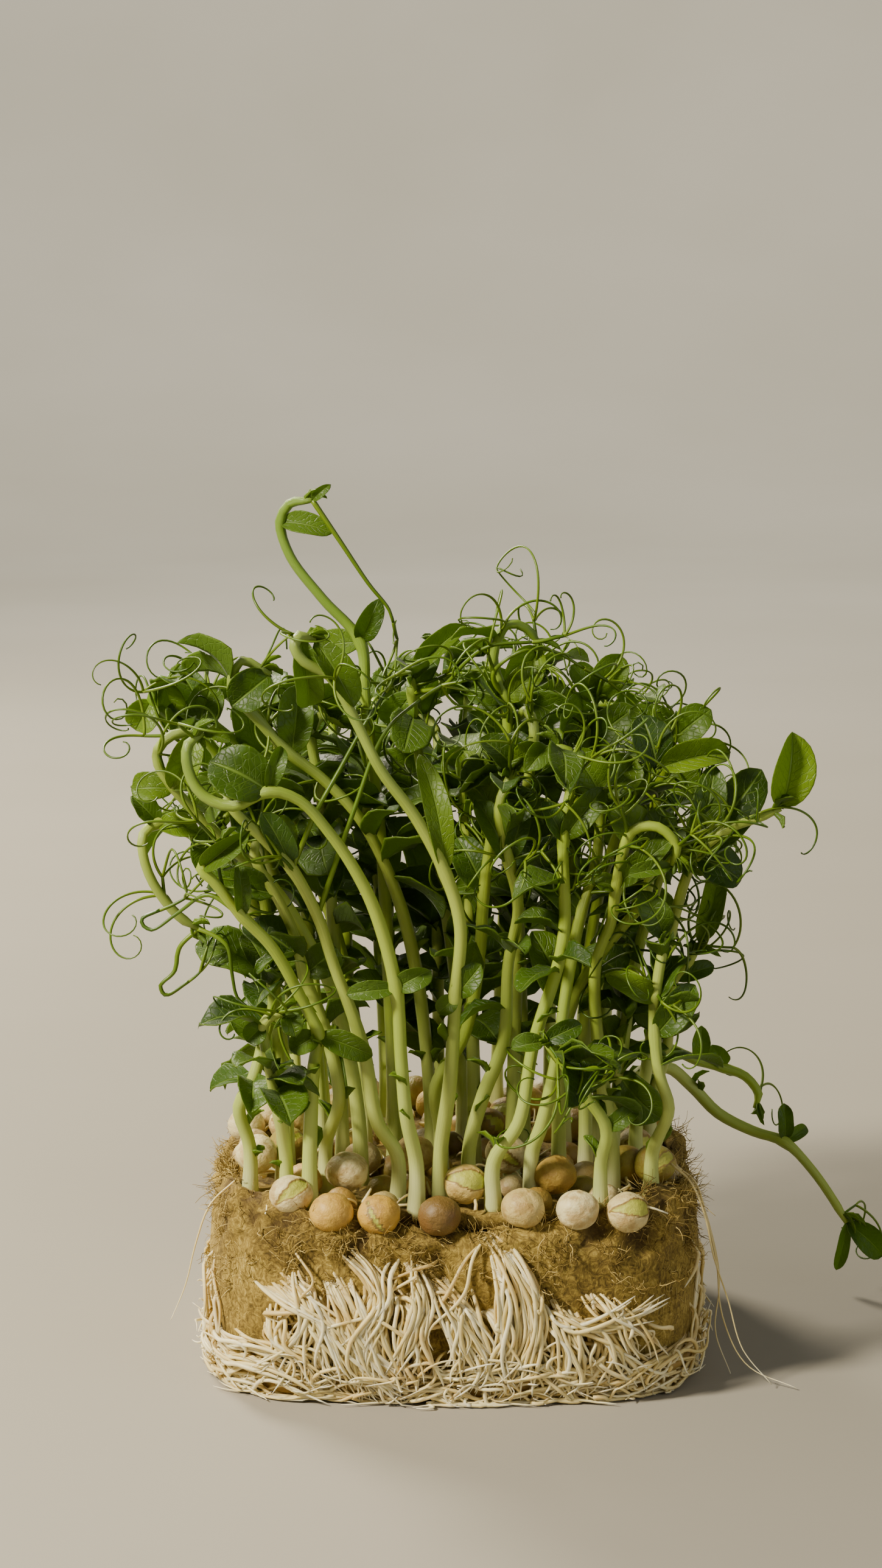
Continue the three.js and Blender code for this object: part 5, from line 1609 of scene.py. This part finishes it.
def sunk_places(feet, places):
    """Smaller, deeper peas in the gaps that the others leave."""
    draw = np.random.default_rng(37)
    sunk = []
    for _ in range(SUNK_TRIES):
        x, y = draw.uniform(-HALF_WIDTH, HALF_WIDTH), draw.uniform(-HALF_DEPTH, HALF_DEPTH)
        free = keeps_off(x, y, places, PEA_RADIUS + 0.55 * SUNK_RADIUS)
        free = free and keeps_off(x, y, sunk, 2 * SUNK_RADIUS)
        free = free and keeps_off(x, y, feet, SUNK_RADIUS + STEM_RADIUS)
        if free and within_block(x, y, PEA_EDGE + 2):
            sunk.append((x, y, BED_TOP + draw.uniform(-0.2, 1.2)))
    return sunk


feet = [shoot["lines"][0]["points"][0] for shoot in shoots]
peas = pea_places(feet)
sunk_peas = sunk_places(feet, peas)
print("peas:", len(peas), "deeper ones:", len(sunk_peas))

# %% Peas with wrinkled and split coats
PEA_SHAPE = np.array((1, 0.94, 0.92))


def add_pea(heap, index, place, turns, shade, split, dark, size=PEA_RADIUS):
    """One pea of its own shape; split is how wide its coat gapes and dark how brown it is, and for the sunk
    peas also how much painted shade they get.
    """
    roll = dice(500 + index * 37)
    radius = size * (0.92 + 0.12 * roll())
    turn = roll() * 3
    rows = turns * 2 // 3
    down = np.linspace(0, math.pi, rows + 2)[1:-1][:, None]
    around = np.arange(turns)[None] / turns * 2 * math.pi
    level = np.sin(down)
    ball = np.stack([level * np.cos(around), level * np.sin(around), -np.cos(down) + 0 * around], -1)
    cosine, sine = math.cos(turn), math.sin(turn)
    ball = ball @ np.array([[cosine, sine, 0], [-sine, cosine, 0], [0, 0, 1]])
    unit_ball = np.concatenate([[(0, 0, -1)], ball.reshape(-1, 3), [(0, 0, 1)]])
    draw = np.random.default_rng(700 + index)
    swell = 1 + 0.050 * ripple(unit_ball, 1.6, 900 + index) + 0.020 * ripple(unit_ball, 0.5, 950 + index)
    inside = np.zeros(len(unit_ball))
    if split:
        open_way = unit(np.array((draw.normal(0, 0.45), -1.0, draw.uniform(0.3, 1.0))))
        across = unit(np.cross(open_way, (1.0, draw.normal(0, 0.3), draw.normal(0, 0.8))))
        facing = np.clip((unit_ball @ open_way - 0.15) / 0.85, 0, 1)
        slant = 1 + 0.8 * (unit_ball @ np.cross(across, open_way))
        width = split * facing**0.8 * slant + 0.09 * ripple(unit_ball, 0.6, 990 + index) * facing
        gap = width - np.abs(unit_ball @ across)
        inside = np.clip(gap / 0.07, 0, 1) * (facing > 0)
        swell = swell - 0.08 * inside + 0.03 * np.clip(1 - np.abs(gap) / 0.1, 0, 1) * (facing > 0)
    points = unit_ball * swell[:, None] * (radius * PEA_SHAPE) + place
    tone = np.stack([np.full(len(points), shade), inside, np.full(len(points), dark)], -1)
    add_grid(heap, points[1:-1].reshape(rows, turns, 3), tone, ends=(points[0], points[-1]))


PEA_FINISHES = [pea, felt, root]
BED_TURNS = 150
BED_INSET = 5.2


def seed_bed():
    """The matted bed that the peas lie in, with humps between them."""
    angle = all_round(BED_TURNS)
    rows = [side(angle, SEED_BOTTOM, -BED_INSET), side(angle, BED_TOP - 1, -BED_INSET)]
    for share in np.linspace(1, 0.04, 26):
        ring = side(angle, BED_TOP, -BED_INSET) * (share, share, 1)
        ring[:, 2] += 0.9 * ripple(ring, 9, 61) - 0.4
        rows.append(ring)
    return np.stack(rows)


pea_heap = Heap()
# the bed wears the felt with a hollow value of 0.3, a painted shade between the peas
add_grid(pea_heap, seed_bed(), (0.3, 0.3, 0.0), finish=PEA_FINISHES.index(felt))
draw = np.random.default_rng(31)
COAT_SHADES = [0.03, 0.1, 0.25, 0.42, 0.55, 0.75, 0.9]
SPLIT_CHANCE = 0.35
FRONT_TURNS, BACK_TURNS, SUNK_TURNS = 42, 24, 16
FIRST_SUNK = 200
for index, place in enumerate(peas):
    if index < len(FRONT_COATS):
        add_pea(pea_heap, index, place, FRONT_TURNS, *FRONT_COATS[index], FRONT_PEA_RADIUS)
    else:
        split = draw.uniform(0.2, 0.5) if draw.uniform() < SPLIT_CHANCE else 0.0
        add_pea(pea_heap, index, place, BACK_TURNS, draw.choice(COAT_SHADES), split, draw.uniform(0, 0.25))
for index, place in enumerate(sunk_peas, FIRST_SUNK):
    # the sunk peas get darker coats, partly painted shade in the gaps between the others
    shade, dark = draw.choice(COAT_SHADES), draw.uniform(0.1, 0.5)
    add_pea(pea_heap, index, place, SUNK_TURNS, shade, 0.0, dark, SUNK_RADIUS)

# rootlets that wander over the bed between the peas
ROOTLETS = 150
WANDER_STEPS = 10
BED_ROOM = 46
start_x, start_y = draw.uniform(-44, 44, ROOTLETS), draw.uniform(-45, 42, ROOTLETS)
start = np.stack([start_x, start_y, np.full(ROOTLETS, BED_TOP)], -1)
turn = draw.uniform(0, 2 * math.pi, (ROOTLETS, 1))
turn = turn + np.linspace(0, 1, WANDER_STEPS) * draw.normal(0, 2.5, (ROOTLETS, 1))
reach = draw.uniform(0.5, 1.3, (ROOTLETS, 1))
flat = np.stack([np.cumsum(np.cos(turn) * reach, axis=1), np.cumsum(np.sin(turn) * reach, axis=1)], -1)
height = draw.uniform(0.8, 3.2, (ROOTLETS, 1)) * np.sin(np.linspace(0.15, 3.0, WANDER_STEPS))
paths = start[:, None] + np.concatenate([flat, height[..., None]], -1)
keep = np.all(np.abs(paths[..., :2]) < BED_ROOM, axis=(1, 2))
radii = np.linspace(0.42, 0.16, WANDER_STEPS)[None]
shade = draw.uniform(0, 1, keep.sum())
threads(pea_heap, paths[keep], radii, shade, 0.1, sides=ROOT_SIDES, finish=PEA_FINISHES.index(root))
cast("soaked_peas", pea_heap, PEA_FINISHES, ["seed_layer"])
print("peas triangles:", pea_heap.triangle_count())

# %% [markdown]
# ## Leaf blades
# A blade is a thin closed shell: a grid over its round outline, once for the upper and once for
# the lower face, joined round the edge. It is folded along its rib, arched and twisted along its
# length and wavy at the edge. A flat card with a picture of a leaf would look flat from the side,
# so the outline and the folds are real.

# %% Leaf blades
SHOOT_FINISHES = [stem, leaf, tendril_finish]
BLADE_SHELL = 0.3
BLADE_WIDEST = 0.53
FINE_ROWS, PLAIN_ROWS, SMALL_ROWS = 12, 8, 4
# where the points of each row lie across the blade, by the number of its rows
BLADE_COLUMNS = {
    FINE_ROWS: np.array([-1, -0.93, -0.72, -0.42, -0.15, 0, 0.15, 0.42, 0.72, 0.93, 1]),
    PLAIN_ROWS: np.array([-1, -0.85, -0.5, -0.16, 0, 0.16, 0.5, 0.85, 1]),
    SMALL_ROWS: np.array([-1, -0.5, 0, 0.5, 1]),
}
BELOW_CHANCE = 0.3


def add_blade(heap, base, entry, draw, rows=FINE_ROWS, youth_and_glow=0.0, grow=(1.0, 1.0)):
    """One leaf. grow stretches its length and width a little past the solid's coarse outline."""
    along, front, across, length = blade_frame(entry["reach"], entry["face"])
    length = length * grow[0]
    half = entry["width"] / 2 * grow[1]
    v = (0.5 - 0.5 * np.cos(math.pi * np.linspace(0, 1, rows + 1) ** 0.92))[:, None]
    u = BLADE_COLUMNS[rows][None]
    outline = np.sqrt(np.clip(1 - np.abs((v - BLADE_WIDEST) / 0.505) ** 2.2, 0, 1)) * (1 - v**30)
    width = np.maximum(half * outline, 0.42 * (1 - v) + 0.05)
    fold = math.radians(entry["cup"])
    twist = draw.normal(0, 0.28) * v
    off = u * width
    trough = np.sqrt(off**2 + 0.09) - 0.3
    wave_height, waves = draw.uniform(0.07, 0.2), draw.uniform(6, 14)
    wave_start = draw.uniform(0, ANY_PHASE)
    wavy = wave_height * half * np.sin(v * waves + wave_start + 1.3 * np.sign(u))
    droop = length * draw.uniform(-0.04, 0.22) * v**3
    raised = length * BLADE_BEND * np.sin(math.pi * v) + wavy * u**2 - droop
    sideways = off * math.cos(fold)
    upward = trough * math.sin(fold)
    sway = length * draw.uniform(-0.07, 0.07) * v**2
    top = base + along * (length * v)[..., None]
    top = top + front * (raised + upward * np.cos(twist) + sideways * np.sin(twist))[..., None]
    top = top + across * (sideways * np.cos(twist) - upward * np.sin(twist) + sway)[..., None]
    keel = 0.22 * np.exp(-((u / 0.14) ** 2)) * (1 - 0.8 * v)
    under = top - front * (BLADE_SHELL + keel + 0 * v)[..., None]
    count_v, count_u = top.shape[:2]
    number = count_v * count_u
    grid = np.arange(number).reshape(count_v, count_u)
    a, b, c, d = grid[:-1, :-1], grid[:-1, 1:], grid[1:, 1:], grid[1:, :-1]
    upper = np.stack([a, b, c, d], -1).reshape(-1, 4)
    lower = np.stack([d, c, b, a], -1).reshape(-1, 4) + number
    loop = np.concatenate([grid[0, :-1], grid[:-1, -1], grid[-1, :0:-1], grid[:0:-1, 0]])
    after = np.roll(loop, -1)
    rim = np.stack([after, loop, loop + number, after + number], -1)
    points = np.concatenate([top.reshape(-1, 3), under.reshape(-1, 3)])
    uv = np.stack([(u + 1) / 2 + 0 * v, v + 0 * u], -1).reshape(-1, 2)
    flip = draw.uniform() < BELOW_CHANCE
    tone = np.empty((2 * number, 3))
    tone[:, 0] = draw.uniform()
    tone[:number, 1], tone[number:, 1] = float(flip), float(not flip)
    tone[:, 2] = youth_and_glow
    faces = np.concatenate([upper, lower, rim])
    heap.add(points, faces, [], np.concatenate([uv, uv]), tone, SHOOT_FINISHES.index(leaf))


print("points across a leaf, by its rows:", {rows: len(u) for rows, u in BLADE_COLUMNS.items()})


# %% [markdown]
# ## Tendrils
# A pea shoot climbs with tendrils: thin stalks that start nearly straight and curl ever more
# tightly towards the tip, often several from one point. Each is grown step by step. At every step
# the direction turns by an amount that rises towards the tip, about an axis that slowly wanders,
# and so the curls never repeat. A spray that would leave the plant's room is drawn again.

# %% Tendrils
CURL_STEPS = 32
LOOSE_CURL = 11
STALK_CURL = 25
SPRAY_TRIES = 6
ROOM_MARGIN = 7.0
room_low = np.array(cad_box[0]) / MM - ROOM_MARGIN
room_high = np.array(cad_box[1]) / MM + ROOM_MARGIN


def curl_path(start, heading, length, coil, draw):
    """A path that is nearly straight at first and ends in curls of radius coil."""
    step = length / (CURL_STEPS - 1)
    way = unit(np.asarray(heading, float))
    axis = unit(np.cross(way, draw.normal(size=3)))
    path = [np.asarray(start, float)]
    drift = draw.normal(0, 0.05, 3)
    slope = draw.uniform(0.05, 0.22)
    for k in range(CURL_STEPS - 1):
        loose = (1 - k / CURL_STEPS) ** 1.5
        turn = step / (coil + LOOSE_CURL * loose)
        way = unit(way * math.cos(turn) + np.cross(axis, way) * math.sin(turn))
        axis = unit(axis + drift + draw.normal(0, 0.05, 3))
        axis = unit(axis - way * (axis @ way))
        path.append(path[-1] + (way + axis * slope) * step)
    return np.array(path)


def draw_spray(start, heading, number, draw, reach, coil):
    """A thin stalk that divides into several tendrils."""
    stalk = curl_path(start, heading, draw.uniform(3, 8), STALK_CURL, draw)
    made = [(stalk, 0.44, 0.34)]
    end, way = stalk[-1], unit(stalk[-1] - stalk[-4])
    for _ in range(number):
        fan = unit(way + draw.normal(0, 0.65, 3))
        made.append((curl_path(end, fan, draw.uniform(*reach), draw.uniform(*coil), draw), 0.33, 0.17))
    return made


def add_spray(store, start, heading, number, draw, reach=(16, 38), coil=(0.8, 2.4)):
    """Stores the first spray that stays inside the plant's room and above the floor."""
    for _ in range(SPRAY_TRIES):
        made = draw_spray(start, heading, number, draw, reach, coil)
        spots = np.concatenate([path for path, _, _ in made])
        if np.all(spots > room_low) and np.all(spots < room_high) and spots[:, 2].min() > 1.0:
            store.extend(made)
            return


def add_tendrils(heap, store, draw):
    """Adds the stored paths, each with the radii at its start and its end."""
    if not store:
        return
    paths = np.stack([path for path, _, _ in store])
    share = np.linspace(0, 1, CURL_STEPS)[None]
    first = np.array([thick for _, thick, _ in store])[:, None]
    last = np.array([thin for _, _, thin in store])[:, None]
    shade = draw.uniform(0, 1, len(store))
    radii = first + (last - first) * share
    threads(heap, paths, radii, shade, 0.0, sides=4, finish=SHOOT_FINISHES.index(tendril_finish))


print("tendrils stay between", room_low, "and", room_high, "mm")


# %% [markdown]
# ## Growing the shoots
# Now each shoot comes together in one mesh: the ribbed stem with a swelling at every leaf, the
# leaves that the solids show, and what the solids are too coarse for, the small scale leaves low
# on the stem, the young folded leaves at its tip, more leaves inside the crown and the tendrils.
# The extra leaves inside the crown have to find room by the same rule, so they run through no neighbour.

# %% Grow the shoots
STEM_STEP = 2.0
STEM_SIDES = 10
FULL_HEIGHT = 125.0
TALLEST = 0
# the two that have toppled over the right edge
TRAILING = (20, 21)
# leaves with a painted glow, where the young yellow green stands in for light shining through them, by shoot
# and leaf
PAINTED_GLOW_LEAVES = ((3, 0), (18, 0), (19, 0), (24, 0), (25, 0))
PAINTED_GLOW_TONE = 0.85
LEFT_OF_CROWN = -10
# shoots that stand free and show their bends, so they get no extra leaves
BARE = (0, 1, 2, 3, 4, 5, 6, 13, 15, 16, 18, 19, *TRAILING)
SCALE_LEAVES, TIP_LEAVES = 3, 4


def stem_body(heap, line, joints, draw):
    """The ribbed stem, thicker at its foot and joints. Gives its route and the length along it."""
    route = smooth_route(line["points"], STEM_STEP)
    run = np.concatenate([[0.0], np.cumsum(np.linalg.norm(np.diff(route, axis=0), axis=1))])
    share = run / run[-1]
    radius = 0.95 * (line["start"] + (line["tip"] - line["start"]) * share)
    radius = radius * (1 + 0.05 * np.sin(run / 9 + draw.uniform(0, 6)))
    for joint in joints:
        gap = np.linalg.norm(route - joint, axis=1)
        radius = radius + 0.16 * np.exp(-((gap / 1.8) ** 2))
    radius = radius + 0.4 * np.exp(-((run / 6) ** 2))
    radius = radius * np.clip((run[-1] - run) / 3.0, 0.3, 1) ** 0.7
    full = run[-1] / FULL_HEIGHT
    rise = np.clip(np.concatenate([[0.0], np.repeat(share, STEM_SIDES), [1.0]]) * full, 0, 1)
    shade = draw.uniform()
    threads(heap, route[None], radius[None], shade, 0.0, sides=STEM_SIDES, ribs=0.04, along=rise[None])
    return route, run


def new_leaf(heading, length, width, cup, draw):
    """A leaf whose upper face looks up and back towards its stem."""
    face = unit(np.array((-heading[0] * 0.6, -heading[1] * 0.6, 1.0)) + draw.normal(0, 0.45, 3))
    return {"reach": unit(heading) * length, "width": width, "cup": cup, "face": face}


def crown_leaves(heap, index, at, number, lowest, draw):
    """More leaves along the stem, each only where there is room."""
    for _ in range(number):
        share = draw.uniform(lowest, 0.98)
        turn = draw.uniform(0, 2 * math.pi)
        heading = np.array((math.cos(turn), math.sin(turn), draw.uniform(-0.5, 1.0)))
        length = draw.uniform(9.5, 16.5)
        entry = new_leaf(heading, length, length * draw.uniform(0.6, 0.8), draw.uniform(10, 50), draw)
        placed = first_clear(entry, at(share), index, taken)
        if placed:
            youth_and_glow = max(0.0, draw.normal(0.05, 0.15))
            add_blade(heap, at(share), placed, draw, rows=PLAIN_ROWS, youth_and_glow=youth_and_glow)


def small_leaves(heap, at, tip, tip_way, draw):
    """Scale leaves low on the stem and young ones at its tip."""
    for _ in range(SCALE_LEAVES):
        share = draw.uniform(0.10, 0.5)
        turn = draw.uniform(0, 2 * math.pi)
        heading = np.array((math.cos(turn), math.sin(turn), 1.3))
        entry = new_leaf(heading, draw.uniform(4.2, 7.0), draw.uniform(2.4, 4.0), 40, draw)
        add_blade(heap, at(share), entry, draw, rows=SMALL_ROWS, youth_and_glow=draw.uniform(0.4, 1.0))
    for _ in range(TIP_LEAVES):
        heading = unit(tip_way + draw.normal(0, 0.5, 3))
        entry = new_leaf(heading, draw.uniform(3.0, 6.0), draw.uniform(1.8, 3.2), 55, draw)
        add_blade(heap, tip, entry, draw, rows=SMALL_ROWS, youth_and_glow=draw.uniform(0.3, 0.9))


def spray_count(index, tip):
    """Few sprays where a shoot is seen on its own, more inside the crown."""
    if index == TALLEST:
        return 0
    if index in TRAILING:
        return 1
    return 2 if tip[0] < LEFT_OF_CROWN else 4


def grow_shoot(index, shoot):
    """Casts one whole shoot and gives its number of triangles."""
    draw = np.random.default_rng(3000 + index)
    heap = Heap()
    stem_line, *curls = shoot["lines"]
    route, run = stem_body(heap, stem_line, [base for _, base in shoot["blades"]], draw)

    def at(share):
        return route[int(np.searchsorted(run, share * run[-1]).clip(1, len(run) - 1))]

    for number, (entry, base) in enumerate(shoot["blades"]):
        youth_and_glow = float(np.clip(draw.normal(0.2, 0.22), 0, 0.8))
        # the listed leaves get the young yellow green as a painted glow of light through them
        if (index, number) in PAINTED_GLOW_LEAVES:
            youth_and_glow = PAINTED_GLOW_TONE
        add_blade(heap, base, entry, draw, youth_and_glow=youth_and_glow, grow=(1.1, 1.16))
    by_eye = index < len(SHOOTS_BY_EYE)
    if index not in BARE:
        crown_leaves(heap, index, at, 6 if by_eye else 21, 0.45 if by_eye else 0.25, draw)
    small_leaves(heap, at, route[-2], unit(route[-1] - route[-5]), draw)
    store = []
    for curl in curls:
        store.append((resample(smooth_route(curl["points"], 1.5), CURL_STEPS), 0.62, 0.36))
        end = store[-1][0]
        add_spray(store, end[-1], end[-1] - end[-3], 3, draw, (9, 20))
    for _ in range(spray_count(index, route[-1])):
        start = at(draw.uniform(0.72, 0.99))
        heading = unit(start * (0.01, 0.01, 0) + draw.normal(0, 0.6, 3) + (0, 0, 0.7))
        add_spray(store, start, heading, int(draw.integers(2, 5)), draw)
    add_tendrils(heap, store, draw)
    name = f"shoot_{index + 1:02d}"
    cast(f"pea_{name}_grown", heap, SHOOT_FINISHES, [name])
    return heap.triangle_count()


counts = [grow_shoot(index, shoot) for index, shoot in enumerate(shoots)]
print("shoots grown:", len(counts), "triangles:", sum(counts), "largest:", max(counts))

# %% [markdown]
# ## Check the sizes and finish
# The dressed block has to stay as large as its solids, but for a little fluff and a few tendrils. The box of
# the solids is printed.

# %% Print the box of the solids
print("solids", cad_box)
